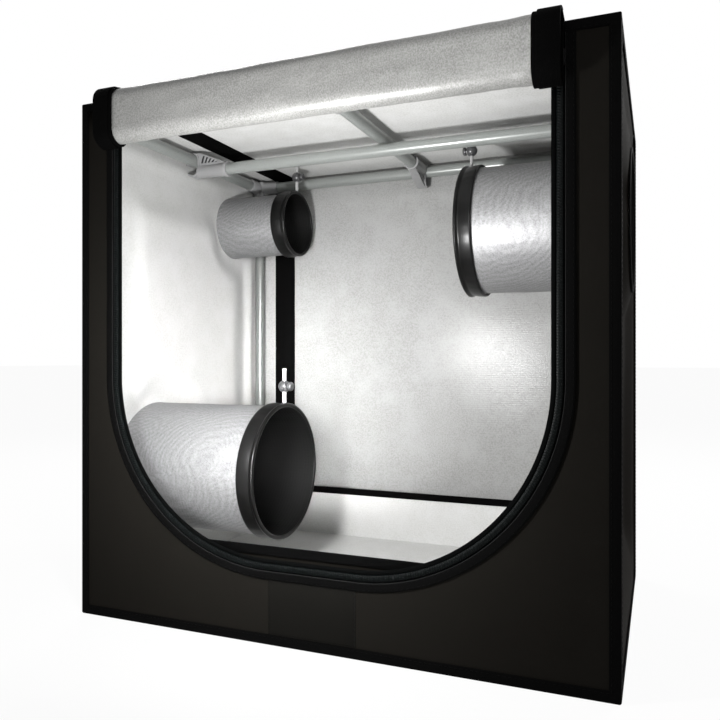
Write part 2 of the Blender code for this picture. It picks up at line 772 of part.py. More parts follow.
def make_tray(lining, tape):
    """The lift-out floor tray, dipped where the lower sleeve passes over it, and the hem on its rim."""
    tray = prism("floor_tray", tray_outline(0), "Z", tray_floor_z, tray_top, lining)
    cut(tray, prism("tray_inside", tray_outline(-fabric_thickness), "Z", tray_floor_z + fabric_thickness,
                    tray_top + cut_overrun))
    wall_in, wall_out = -fabric_thickness - seat_gap, seat_gap
    hem_top = tray_top + seat_gap + hem_thickness
    hem_low = tray_top - hem_height
    profile = [
        (wall_out, hem_low), (wall_out + hem_thickness, hem_low), (wall_out + hem_thickness, hem_top),
        (wall_in - hem_thickness, hem_top), (wall_in - hem_thickness, hem_low), (wall_in, hem_low),
        (wall_in, tray_top + seat_gap), (wall_out, tray_top + seat_gap),
    ]
    bm = bmesh.new()
    outlines = [tray_outline(offset) for offset, _ in profile]
    rows = [
        [bm.verts.new((*outline[i], height)) for outline, (_, height) in zip(outlines, profile)]
        for i in range(len(outlines[0]))
    ]
    skin_rows(bm, rows, closed=True)
    hem = add_object("tray_hem", bm, tape)
    lower = sleeves["lower_left"]
    for piece in (tray, hem):
        cut(piece, cylinder(f"{piece.name}_dip", "X", -post_x, -lower["end"], lower["y"], lower["z"],
                            lower["radius"] + sleeve_clearance, sleeve_sides))


def make_webbing(webbing):
    """Two black strips, each up the rear wall and forward under the roof."""
    back = wall_y - seat_gap - webbing_thickness / 2
    top = roof_underside - seat_gap - webbing_thickness / 2
    bend = arc((back - webbing_bend, top - webbing_bend), webbing_bend, 0, 90, webbing_bend_steps)
    path = [(back, wall_bottom + webbing_foot), *bend, (-wall_y + webbing_foot, top)]
    for hand, side in (("left", -1), ("right", 1)):
        middle = side * webbing_centre
        strip(f"webbing_{hand}", path, webbing_thickness, middle - webbing_width / 2,
              middle + webbing_width / 2, webbing)


def build():
    clear_scene()
    outer_fabric = surface("outer_fabric", (0.012, 0.011, 0.009), 0.8)
    tape = surface("black_tape", (0.004, 0.004, 0.004), 0.7)
    lining = surface("reflective_lining", (0.75, 0.75, 0.72), 0.4)
    liner = surface("sleeve_fabric", (0.78, 0.78, 0.80), 0.5)
    cuff_material = surface("cuff_trim", (0.006, 0.006, 0.006), 0.25)
    steel = surface("coated_steel", (0.42, 0.45, 0.42), 0.3, 0.4)
    plastic = surface("grey_plastic", (0.35, 0.35, 0.35), 0.45)
    metal = surface("black_metal", (0.02, 0.02, 0.02), 0.35, 1)
    cord_material = surface("white_cord", (0.85, 0.85, 0.85), 0.6)
    lock_plastic = surface("lock_plastic", (0.10, 0.10, 0.10), 0.35)
    make_shell(outer_fabric, tape)
    make_frame(steel, plastic)
    make_bars(steel, plastic)
    make_zip(tape, metal)
    make_door(lining, tape)
    for place, sleeve in sleeves.items():
        make_sleeve(place, sleeve, liner, cuff_material, cord_material, lock_plastic)
    make_tray(lining, tape)
    make_webbing(tape)


build()
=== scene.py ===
"""The looks of the grow tent: cloth, tape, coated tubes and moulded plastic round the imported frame."""

import math

import bmesh
import bpy
from mathutils import Matrix, Vector, noise


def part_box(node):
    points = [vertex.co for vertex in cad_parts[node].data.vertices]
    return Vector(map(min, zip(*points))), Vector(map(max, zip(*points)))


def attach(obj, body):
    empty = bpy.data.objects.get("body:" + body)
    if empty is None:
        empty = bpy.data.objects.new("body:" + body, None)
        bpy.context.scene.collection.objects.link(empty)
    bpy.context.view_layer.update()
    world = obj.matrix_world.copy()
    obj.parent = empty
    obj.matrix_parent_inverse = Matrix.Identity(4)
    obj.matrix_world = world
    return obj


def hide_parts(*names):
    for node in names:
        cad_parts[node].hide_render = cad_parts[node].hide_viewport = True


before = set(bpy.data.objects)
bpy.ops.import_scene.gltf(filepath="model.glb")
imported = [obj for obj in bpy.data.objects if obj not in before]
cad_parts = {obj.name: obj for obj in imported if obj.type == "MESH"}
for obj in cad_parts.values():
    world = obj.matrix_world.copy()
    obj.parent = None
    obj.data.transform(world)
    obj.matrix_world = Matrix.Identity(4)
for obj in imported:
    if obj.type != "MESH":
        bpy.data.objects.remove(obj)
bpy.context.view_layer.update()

# Camera: a level pinhole that the photograph's corners fit
photo_focal_px = 723
photo_width_px = 720
sensor_width_mm = 36
camera_place = (0.330, -0.8625, 0.2985)
camera_turn = math.radians(22.5)

# Places on the tent, read from the frame
tent_low, tent_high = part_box("edge_binding")
half_width = tent_high.x
half_depth = tent_high.y
tent_height = tent_high.z
tent_middle = Vector((0, 0, tent_height / 2))
zip_low, zip_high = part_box("zip_chain")
front_face = -half_depth

# Measures that the boxes of the frame don't give
roll_back = -0.2089
weld = 0.00002
touch_gap = 0.0003
cloth_thickness = 0.0012
quarter_turn = math.pi / 2

# The door opening: a U with round lower corners
zip_band_width = 0.0215
opening_half_width = zip_high.x - zip_band_width
opening_radius = 0.190
opening_corner_z = zip_low.z + zip_band_width + opening_radius
opening_corner_x = opening_half_width - opening_radius
zip_top = zip_high.z

# Sleeves: the side of the tent that each is sewn to
sleeve_sides = {"lower_left": -1, "upper_left": -1, "upper_right": 1}
port_lip = 0.0045
port_centres = {}
port_radii = {}
for sleeve_place in sleeve_sides:
    flange_low, flange_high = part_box(f"sleeve_{sleeve_place}")
    port_centres[sleeve_place] = (flange_low + flange_high) / 2
    port_radii[sleeve_place] = (flange_high.z - flange_low.z) / 2 - port_lip


class Socket:
    """An output of a shader node. Python's operators on it add Math nodes."""

    def __init__(self, maker, output):
        self.maker = maker
        self.output = output

    def math(self, operation, *values):
        return self.maker.node("Math", {"operation": operation}, values)

    def __add__(self, other):
        return self.math("ADD", self, other)

    __radd__ = __add__

    def __sub__(self, other):
        return self.math("SUBTRACT", self, other)

    def __rsub__(self, other):
        return self.math("SUBTRACT", other, self)

    def __mul__(self, other):
        return self.math("MULTIPLY", self, other)

    __rmul__ = __mul__

    def sine(self):
        return self.math("SINE", self)

    def larger(self, other):
        return self.math("MAXIMUM", self, other)

    def ramp(self, start, end):
        """0 below start and 1 above end, smooth between them."""
        return self.maker.node("MapRange", {"interpolation_type": "SMOOTHSTEP"}, (self, start, end, 0.0, 1.0))


class Nodes:
    """A node tree whose new nodes all come from the method node."""

    def __init__(self, tree):
        self.nodes = tree.nodes
        self.links = tree.links

    def node(self, kind, settings=None, values=(), output=0):
        """Adds a node of a kind, such as Math or TexNoise, sets it, then fills its sockets."""
        node = self.nodes.new(f"ShaderNode{kind}")
        for key, value in (settings or {}).items():
            setattr(node, key, value)
        pairs = values.items() if isinstance(values, dict) else enumerate(values)
        for key, value in pairs:
            self.fill(node.inputs[key], value)
        return Socket(self, node.outputs[output])

    def fill(self, target, value):
        """Links a socket to the target, or sets the target's own value."""
        if isinstance(value, Socket):
            self.links.new(value.output, target)
        else:
            target.default_value = shade(value) if target.type == "RGBA" else value


class Finish(Nodes):
    """A material of one Principled shader."""

    def __init__(self, name, roughness, specular=0.5, metallic=0.0, coat=0.0, sheen=0.0):
        self.material = bpy.data.materials.new(name)
        self.material.use_nodes = True
        super().__init__(self.material.node_tree)
        self.shader = self.nodes["Principled BSDF"]
        self.set("Roughness", roughness)
        self.set("Specular IOR Level", specular)
        self.set("Metallic", metallic)
        self.set("Coat Weight", coat)
        self.set("Coat Roughness", 0.15)
        self.set("Sheen Weight", sheen)

    def set(self, name, value):
        self.fill(self.shader.inputs[name], value)

    def mix(self, first, second, factor):
        """A colour from first to second as factor goes from 0 to 1."""
        return self.node("Mix", {"data_type": "RGBA"}, {0: factor, 6: first, 7: second}, output=2)

    def colour(self, first, second, factor):
        self.set("Base Color", self.mix(first, second, factor))

    def place(self):
        """The Object coordinates, as a vector."""
        return self.node("TexCoord", output=3)

    def split(self, vector):
        first = self.node("SeparateXYZ", values=(vector,))
        return [Socket(self, out) for out in first.output.node.outputs]

    def cloth(self):
        """The two coordinates of the piece's own UV map, in metres."""
        return self.split(self.node("TexCoord", output=2))[:2]

    def grain(self, size, detail=3.0, roughness=0.55, stretch=(1.0, 1.0, 1.0)):
        """Noise from 0 to 1 whose grains are about size metres across."""
        vector = self.node("Mapping", values={"Vector": self.place(), "Scale": stretch})
        values = {"Vector": vector, "Scale": 1 / size, "Detail": detail, "Roughness": roughness}
        return self.node("TexNoise", values=values)

    def raised(self, height, depth, strength=1.0):
        """Sets the fine relief and returns the material."""
        values = {"Height": height, "Distance": depth, "Strength": strength}
        self.set("Normal", self.node("Bump", values=values))
        return self.material


def shade(colour, share=1):
    """A grey or an RGB colour, times share, as four numbers."""
    rgb = (colour,) * 3 if isinstance(colour, (int, float)) else colour[:3]
    return (*(c * share for c in rgb), 1)


def wave(value, pitch):
    """A sine of the given pitch in metres, from -1 to 1."""
    return (value * (math.tau / pitch)).sine()


def woven(finish, pitch):
    """The height of a basket weave on any face of a box, from the Object coordinates."""
    x, y, z = finish.split(finish.place())
    return wave(x + y + z, pitch).larger(wave(x + y - z, pitch)).larger(wave(x - y + z, pitch))


def outer_canvas(name, colour, roughness):
    """Near-black canvas with a fine diagonal weave and faint clouds."""
    finish = Finish(name, roughness, specular=0.02)
    weave = woven(finish, 0.0015)
    thread = finish.grain(0.0009, detail=2.0)
    finish.colour(colour, shade(colour, 1.7), finish.grain(0.05) * 0.4 + weave * 0.18 + thread * 0.35)
    return finish.raised(weave * 0.5 + thread, 0.00012, 0.5)


def woven_tape(name, colour, pitch, roughness=0.7):
    """Black tape with a close rib and a slight sheen on its threads."""
    finish = Finish(name, roughness, specular=0.015)
    rib = woven(finish, pitch)
    fibre = finish.grain(0.0007, detail=2.0)
    finish.colour(colour, shade(colour, 2.2), rib * 0.25 + fibre * 0.5)
    return finish.raised(rib + fibre, 0.00018, 0.6)


def reflective_lining(name, darkest, palest, gloss=0.12, roughness=0.20):
    """Pale reflective film on cloth: finely crinkled, speckled and half glossy."""
    finish = Finish(name, 0.30, specular=gloss)
    x, y, z = finish.split(finish.place())
    fleck = finish.grain(0.0021, roughness=0.7)
    blotch = finish.grain(0.035)
    weave = wave(x + y, 0.0032) * wave(z + y - x, 0.0032)
    middle = (darkest + 2 * palest) / 3
    dull, lit = (darkest, darkest, darkest * 0.97), (middle, middle, middle * 0.985)
    pale = finish.mix(dull, lit, fleck.ramp(0.30, 0.62))
    finish.colour(pale, palest, blotch.ramp(0.35, 0.75) * 0.5 + weave * 0.05)
    finish.set("Roughness", fleck * 0.10 + roughness)
    return finish.raised(fleck * 0.8 + weave * 0.12, 0.00035, 0.55)


def rolled_lining(name):
    """The same film on the rolled door, crinkled along and across the roll."""
    finish = Finish(name, 0.45, specular=0.4, metallic=0.20)
    across = finish.grain(0.0014, roughness=0.65, stretch=(1.0, 0.8, 0.8))
    crease = finish.grain(0.006, stretch=(0.30, 1.0, 1.0))
    pale = finish.mix((0.20, 0.20, 0.192), (0.335, 0.335, 0.325), across.ramp(0.32, 0.64))
    finish.colour(pale, (0.36, 0.36, 0.35), finish.grain(0.03).ramp(0.4, 0.75) * 0.30)
    finish.set("Roughness", across * 0.2 + 0.32)
    return finish.raised(across + crease * 0.5, 0.0004, 0.45)


def sleeve_cloth(name):
    """Silvery sleeve film over a fine weave, whose threads beat into rings of faint lines."""
    finish = Finish(name, 0.52, specular=0.3, metallic=0.60)
    around, along = finish.cloth()
    sway = finish.grain(0.030, detail=1.0) * 14.0
    hills = wave(around, 0.31) + wave(along + around * 0.25, 0.37)
    saddle = wave(around + along, 0.27) - wave(along - around, 0.33)
    rings = (hills * 44.0 + sway).sine() * 0.6 + (saddle * 40.0 + sway).sine() * 0.4
    fine = wave(around + along * 0.3, 0.0031) * wave(along - around * 0.2, 0.0027)
    fleck = finish.grain(0.0018, detail=2.0)
    tone = fleck.ramp(0.25, 0.65) * 0.45 + rings * 0.17 + fine * 0.08 + 0.25
    finish.colour((0.18, 0.18, 0.184), (0.385, 0.385, 0.39), tone)
    finish.set("Roughness", fleck * 0.10 + 0.46)
    return finish.raised(rings * 0.1 + fine * 0.2 + fleck, 0.0002, 0.4)


def sleeve_inside(name):
    """The sleeve's dark inner face, whose weave runs in rings."""
    finish = Finish(name, 0.6, specular=0.12)
    around, along = finish.cloth()
    rings = wave(along, 0.0042) * 0.5 + wave(around, 0.0042) * 0.25
    fibre = finish.grain(0.0012)
    finish.colour(0.0022, (0.0065, 0.0065, 0.0062), rings * 0.35 + fibre * 0.6)
    return finish.raised(rings + fibre, 0.0002, 0.5)


def glossy_elastic(name):
    """The cuffs' black elastic: glossy, with a close knit."""
    finish = Finish(name, 0.32, specular=0.22)
    around, along = finish.cloth()
    knit = wave(around, 0.0016) * 0.5 + wave(along, 0.0022) * 0.5
    fibre = finish.grain(0.0016, detail=2.0)
    finish.colour((0.0022, 0.0022, 0.0021), (0.0050, 0.0049, 0.0048), fibre)
    finish.set("Roughness", fibre * 0.05 + 0.295)
    return finish.raised(knit * 0.4 + fibre * 0.2, 0.00003, 0.4)


def coated_steel(name, grey):
    """Satin coating on the tubes: greenish light grey with a trace of drawing lines and dust."""
    finish = Finish(name, 0.3, metallic=0.15)
    fine = finish.grain(0.0011, detail=2.0)
    dull = shade((0.90, 0.945, 0.91), grey)
    finish.colour(dull, shade(dull, 1.33), finish.grain(0.03) * 0.6 + fine * 0.25)
    finish.set("Roughness", fine * 0.10 + 0.24)
    return finish.raised(fine, 0.00003, 0.5)


def moulded_plastic(name, colour, roughness=0.42, coat=0.0):
    """Injection-moulded plastic with a fine eroded skin and slight flow clouds."""
    finish = Finish(name, roughness, specular=0.45, coat=coat)
    skin = finish.grain(0.0007)
    finish.colour(colour, shade(colour, 1.25), finish.grain(0.012) * 0.8 + skin * 0.2)
    finish.set("Roughness", skin * 0.15 + (roughness - 0.07))
    return finish.raised(skin, 0.00005, 0.6)


def zip_teeth(name):
    """Dark green-grey coil, slightly glossy."""
    finish = Finish(name, 0.4, specular=0.06)
    wear = finish.grain(0.004)
    finish.colour((0.0010, 0.0015, 0.0015), (0.0026, 0.0036, 0.0036), wear.ramp(0.3, 0.8))
    finish.set("Roughness", wear * 0.2 + 0.32)
    return finish.material


def enamelled_metal(name):
    """The sliders' black enamel, worn at random."""
    finish = Finish(name, 0.32, metallic=0.6)
    wear = finish.grain(0.002)
    finish.colour(0.012, 0.05, wear.ramp(0.45, 0.85))
    return finish.raised(wear, 0.00003, 0.5)


def braided_cord(name, white):
    """White cord whose braid crosses both ways round it."""
    finish = Finish(name, 0.55, specular=0.4, sheen=0.1)
    around, along = finish.cloth()
    braid = wave(around + along * 0.8, 0.0018).larger(wave(around - along * 0.8, 0.0018))
    finish.colour(white * 0.69, white, braid * 0.5 + 0.5)
    return finish.raised(braid, 0.0003, 0.7)


def sewing_thread(name, grey):
    """Thread whose plies show as fine slanted bands."""
    finish = Finish(name, 0.6, specular=0.04)
    x, _, z = finish.split(finish.place())
    ply = wave(x + z, 0.0006)
    finish.colour(grey, 1.8 * grey, ply * 0.3 + 0.3)
    return finish.raised(ply, 0.0001, 0.5)


canvas = outer_canvas("outer_canvas", (0.0056, 0.0051, 0.0043), 0.8)
side_canvas = outer_canvas("side_canvas", (0.0052, 0.0044, 0.0036), 0.8)
patch_cloth = outer_canvas("patch_cloth", (0.0040, 0.0038, 0.0033), 0.7)
# One film in a different tone on each panel: painted light and shade, with the rear wall darkest and the roof palest
back_lining = reflective_lining("back_lining", 0.27, 0.39, 0.17, 0.15)
side_lining = reflective_lining("side_lining", 0.44, 0.54)
roof_lining = reflective_lining("roof_lining", 0.60, 0.80)
tray_lining = reflective_lining("tray_lining", 0.54, 0.66)
roll_lining = rolled_lining("roll_lining")
binding_tape = woven_tape("binding_tape", 0.0014, 0.0016)
zip_tape = woven_tape("zip_tape", (0.0009, 0.0010, 0.0010), 0.0012)
strap_tape = woven_tape("strap_tape", 0.0010, 0.0020, roughness=0.8)
webbing_tape = woven_tape("webbing_tape", 0.0012, 0.0018)
hem_tape = woven_tape("hem_tape", 0.0012, 0.0014)
sleeve_outer = sleeve_cloth("sleeve_outer")
sleeve_inner = sleeve_inside("sleeve_inner")
cuff_elastic = glossy_elastic("cuff_elastic")
tube_coat = coated_steel("tube_coat", 0.25)
# Painted shade: the same coating as the other tubes, darker, for the uprights only
upright_coat = coated_steel("upright_coat", 0.13)
clip_plastic = moulded_plastic("clip_plastic", (0.25, 0.25, 0.252))
# Painted shade: a near-black copy of the clip plastic, put on the floors of the clips' slots
slot_shade_plastic = moulded_plastic("slot_shade_plastic", (0.035, 0.035, 0.036))
lock_plastic = moulded_plastic("lock_plastic", (0.048, 0.048, 0.050), roughness=0.30, coat=0.2)
coil_nylon = zip_teeth("coil_nylon")
slider_enamel = enamelled_metal("slider_enamel")
cord_braid = braided_cord("cord_braid", 0.90)
# Painted shade: the same white cord, darker, for the two upper cords
shaded_braid = braided_cord("shaded_braid", 0.42)
black_thread = sewing_thread("black_thread", 0.0022)
grey_thread_and_highlight = sewing_thread("grey_thread_and_highlight", 0.016)


def select_none():
    """Deselects everything, because an operator acts on all that is selected."""
    bpy.ops.object.select_all(action="DESELECT")


def alone(piece):
    """Selects only this piece and makes it active."""
    select_none()
    piece.select_set(True)
    bpy.context.view_layer.objects.active = piece


def put(name, data, material=None):
    """A new object of the scene for some mesh, camera or lamp data."""
    if material:
        data.materials.clear()
        data.materials.append(material)
    piece = bpy.data.objects.new(name, data)
    bpy.context.scene.collection.objects.link(piece)
    return piece


def settle(name, material, scale=(1, 1, 1)):
    """Gives the primitive that was just added its name, finish and scale, with its origin at the world's."""
    piece = bpy.context.object
    piece.name = name
    piece.data.name = name
    piece.data.materials.clear()
    piece.data.materials.append(material)
    piece.scale = scale
    alone(piece)
    bpy.ops.object.transform_apply(location=True, rotation=True, scale=True)
    return piece


def block(name, low, high, material):
    """A cube primitive from one corner to the other."""
    low, high = Vector(low), Vector(high)
    select_none()
    bpy.ops.mesh.primitive_cube_add(size=1, location=(low + high) / 2)
    return settle(name, material, high - low)


def grid(name, centre, turn, size, cells, material):
    """A flat grid primitive, turned and scaled to its place."""
    select_none()
    bpy.ops.mesh.primitive_grid_add(
        x_subdivisions=cells[0], y_subdivisions=cells[1], size=1, location=centre, rotation=turn,
    )
    return settle(name, material, (*size, 1))


def rod(name, axis, low, high, centre, radius, sides, material):
    """A cylinder primitive along X, Y or Z, from low to high on that axis."""
    turns = {"X": (0, quarter_turn, 0), "Y": (quarter_turn, 0, 0), "Z": (0, 0, 0)}
    middle = Vector(centre)
    middle["XYZ".index(axis)] = (low + high) / 2
    select_none()
    bpy.ops.mesh.primitive_cylinder_add(
        vertices=sides, radius=radius, depth=high - low, location=middle, rotation=turns[axis],
    )
    return settle(name, material)


def wire(name, points, closed, material):
    """A bare line of points, to be extruded or spun."""
    mesh = bpy.data.meshes.new(name)
    count = len(points)
    edges = [(i, i + 1) for i in range(count - 1)]
    if closed:
        edges.append((count - 1, 0))
    mesh.from_pydata([tuple(p) for p in points], edges, [])
    return put(name, mesh, material)


def edit(piece, kind="FACE", whole=False):
    """Opens the piece in edit mode with nothing or the whole of it selected."""
    alone(piece)
    bpy.ops.object.mode_set(mode="EDIT")
    bpy.ops.mesh.select_mode(type=kind)
    bpy.ops.mesh.select_all(action="SELECT" if whole else "DESELECT")


def done():
    bpy.ops.object.mode_set(mode="OBJECT")


def pick(piece, test, kind="FACE"):
    """Selects the faces, edges or points that pass a test on their middle and, for faces, their normal."""
    bm = bmesh.from_edit_mesh(piece.data)
    if kind == "FACE":
        for face in bm.faces:
            face.select_set(bool(test(face.calc_center_median(), face.normal)))
    elif kind == "EDGE":
        for edge in bm.edges:
            edge.select_set(bool(test((edge.verts[0].co + edge.verts[1].co) / 2, edge)))
    else:
        for vert in bm.verts:
            vert.select_set(bool(test(vert.co)))
    bm.select_flush_mode()
    bmesh.update_edit_mesh(piece.data)


def extrude(x, z):
    """Draws the selected edges out along X and Z."""
    bpy.ops.mesh.extrude_edges_move(TRANSFORM_OT_translate={"value": (x, 0, z)})


def tidy_mesh(piece):
    """Merges doubled points and turns the faces outwards."""
    edit(piece, whole=True)
    bpy.ops.mesh.remove_doubles(threshold=weld)
    bpy.ops.mesh.normals_make_consistent(inside=False)
    done()


def modify(piece, kind, **settings):
    """Adds a modifier, sets it and applies it."""
    alone(piece)
    modifier = piece.modifiers.new(kind.lower(), kind)
    for key, value in settings.items():
        setattr(modifier, key, value)
    bpy.ops.object.modifier_apply(modifier=modifier.name)


def soften(piece, width, angle):
    """Rounds the piece's hard edges by a small bevel."""
    modify(
        piece, "BEVEL", width=width, segments=2, limit_method="ANGLE", angle_limit=math.radians(angle),
        use_clamp_overlap=True,
    )


def cut(piece, other):
    """Cuts another new piece out of this one, and removes it."""
    modify(piece, "BOOLEAN", operation="DIFFERENCE", solver="EXACT", object=other)
    bpy.data.objects.remove(other)


def shape(piece, move):
    """Moves each point of the mesh to where move puts it."""
    for vert in piece.data.vertices:
        vert.co = move(vert.co.copy())
    piece.data.update()


def kept(piece, node=None, body="root", angle=None):
    """The piece rides on its body and stands for the node.

    Its edges that turn by less than the angle, in degrees, are shaded smooth.
    """
    if angle:
        alone(piece)
        bpy.ops.object.shade_smooth_by_angle(angle=math.radians(angle))
    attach(piece, body)
    if node:
        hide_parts(node)


def turned(name, profile, axis, middle, steps, material, closed=False):
    """A profile of (place on the axis, radius) points, spun round the X or Z axis through middle."""
    along, out = (0, 2) if axis == "X" else (2, 0)
    centre = Vector(middle)
    centre[along] = 0
    points = [centre.copy() for _ in profile]
    for point, (place, radius) in zip(points, profile):
        point[along] = place
        point[out] += radius
    piece = wire(name, points, closed, material)
    edit(piece, "EDGE", whole=True)
    bpy.ops.mesh.spin(steps=steps, angle=math.tau, center=centre, axis=[float(i == along) for i in range(3)])
    done()
    tidy_mesh(piece)
    return piece


def wrap_cloth_map(piece, axis, centre, radius):
    """A UV map in metres: round the axis, and along it."""
    layer = piece.data.uv_layers.new(name="cloth")
    along = "XYZ".index(axis)
    first, second = [i for i in range(3) if i != along]
    for face in piece.data.polygons:
        points = [piece.data.vertices[i].co for i in face.vertices]
        angles = [math.atan2(p[second] - centre[second], p[first] - centre[first]) for p in points]
        for i, point, angle in zip(face.loop_indices, points, angles):
            nearest = angle + math.tau * round((angles[0] - angle) / math.tau)
            layer.data[i].uv = (nearest * radius, point[along])


def built(name, bm, material):
    """A finished bmesh as a new object."""
    mesh = bpy.data.meshes.new(name)
    bm.to_mesh(mesh)
    bm.free()
    return put(name, mesh, material)


def copies(name, model, places, material):
    """One smooth object with the model at each place, in place of the model."""
    bm = bmesh.new()
    for place in places:
        before = len(bm.verts)
        bm.from_mesh(model.data)
        bm.verts.ensure_lookup_table()
        bmesh.ops.transform(bm, matrix=place, verts=bm.verts[before:])
    bpy.data.objects.remove(model)
    piece = built(name, bm, material)
    piece.data.shade_smooth()
    return piece


def skin(name, rows, material, closed=False):
    """Quads between successive rings of points, with a flat face on each open end."""
    bm = bmesh.new()
    rings = [[bm.verts.new(point) for point in row] for row in rows]
    pairs = list(zip(rings, rings[1:]))
    if closed:
        pairs.append((rings[-1], rings[0]))
    for ring, following in pairs:
        for i in range(len(ring)):
            bm.faces.new((ring[i - 1], ring[i], following[i], following[i - 1]))
    if not closed:
        bm.faces.new(rings[0])
        bm.faces.new(list(reversed(rings[-1])))
    bmesh.ops.recalc_face_normals(bm, faces=bm.faces)
    return built(name, bm, material)


def spaced(start, end, steps):
    """Evenly spaced numbers from start to end, both included."""
    return [start + (end - start) * i / steps for i in range(steps + 1)]


def arc(centre, radius, start, end, steps):
    """Points of an arc between two angles in degrees, both ends included."""
    angles = [math.radians(angle) for angle in spaced(start, end, steps)]
    return [(centre[0] + radius * math.cos(a), centre[1] + radius * math.sin(a)) for a in angles]


def limited(share):
    """The share, kept from 0 to 1."""
    return min(max(share, 0), 1)


def even_path(points, step):
    """The same line with its points about step apart."""
    points = [Vector(p) for p in points]
    spans = [(b - a).length for a, b in zip(points, points[1:])]
    total = sum(spans)
    count = max(round(total / step), 1)
    result = []
    index, passed = 0, 0.0
    for i in range(count + 1):
        target = total * i / count
        while index < len(spans) - 1 and passed + spans[index] < target:
            passed += spans[index]
            index += 1
        share = limited((target - passed) / max(spans[index], 1e-9))
        result.append(points[index].lerp(points[index + 1], share))
    return result


def path_frames(path):
    """(point, direction) along a line in a plane, with directions averaged at each point."""
    ends = [path[0], *path, path[-1]]
    return [(point, (after - before).normalized()) for before, point, after in zip(ends, path, ends[2:])]


def belt(name, path, low_x, high_x, thickness, material, lift):
    """A band along a path of (y, z) points, with round edges and its width along X.

    lift(x, distance along) moves the whole section outwards, to the left of the path's direction.
    """
    half = thickness / 2
    turns = spaced(0, math.pi, 4)
    section = [(high_x - half + half * math.sin(a), half * math.cos(a)) for a in turns]
    section += [(low_x + half - half * math.sin(a), -half * math.cos(a)) for a in turns]
    rows = []
    travelled = 0.0
    last = None
    for point, direction in path_frames(path):
        travelled += (point - last).length if last else 0.0
        last = point
        normal = Vector((-direction.y, direction.x))
        rows.append([(x, *(point + normal * (offset + lift(x, travelled)))) for x, offset in section])
    return skin(name, rows, material)


def spoke(p, middle):
    """The way to a point from the line along X through middle."""
    return Vector((0, p.y - middle.y, p.z - middle.z))


def line_cloth(piece, inside, away, thickness):
    """Thickens a layer of cloth inwards, with its own finish on the side that faces away and another inside."""
    piece.data.materials.append(inside)
    edit(piece, whole=True)
    if piece.data.polygons[0].normal.dot(away) < 0:
        bpy.ops.mesh.flip_normals()
    done()
    modify(piece, "SOLIDIFY", thickness=thickness, offset=-1, material_offset=1, material_offset_rim=0)


def stitch_runs(name, runs, material, length=0.0034, pitch=0.0050):
    """Stitches laid end to end along straight runs of (start, end), as one piece."""
    thickness = 0.0004
    select_none()
    bpy.ops.mesh.primitive_uv_sphere_add(segments=6, ring_count=4, radius=0.5, rotation=(0, quarter_turn, 0))
    model = settle("stitch", material)
    shape(model, lambda p: Vector((p.x * length, p.y * thickness * 1.6, p.z * thickness)))
    places = []
    along = Vector((1, 0, 0))
    for start, end in runs:
        start, end = Vector(start), Vector(end)
        count = max(int((end - start).length / pitch), 1)
        turn = along.rotation_difference(end - start).to_matrix().to_4x4()
        places += [Matrix.Translation(start.lerp(end, (i + 0.5) / count)) @ turn for i in range(count)]
    kept(copies(name, model, places, material))


# Camera and cords

def set_camera():
    """The camera that fits the photograph."""
    data = bpy.data.cameras.new("camera")
    data.sensor_fit = "HORIZONTAL"
    data.sensor_width = sensor_width_mm
    data.lens = sensor_width_mm * photo_focal_px / photo_width_px
    data.clip_start = 0.01
    camera = put("camera", data)
    camera.location = camera_place
    camera.rotation_euler = (quarter_turn, 0, camera_turn)
    bpy.context.scene.camera = camera


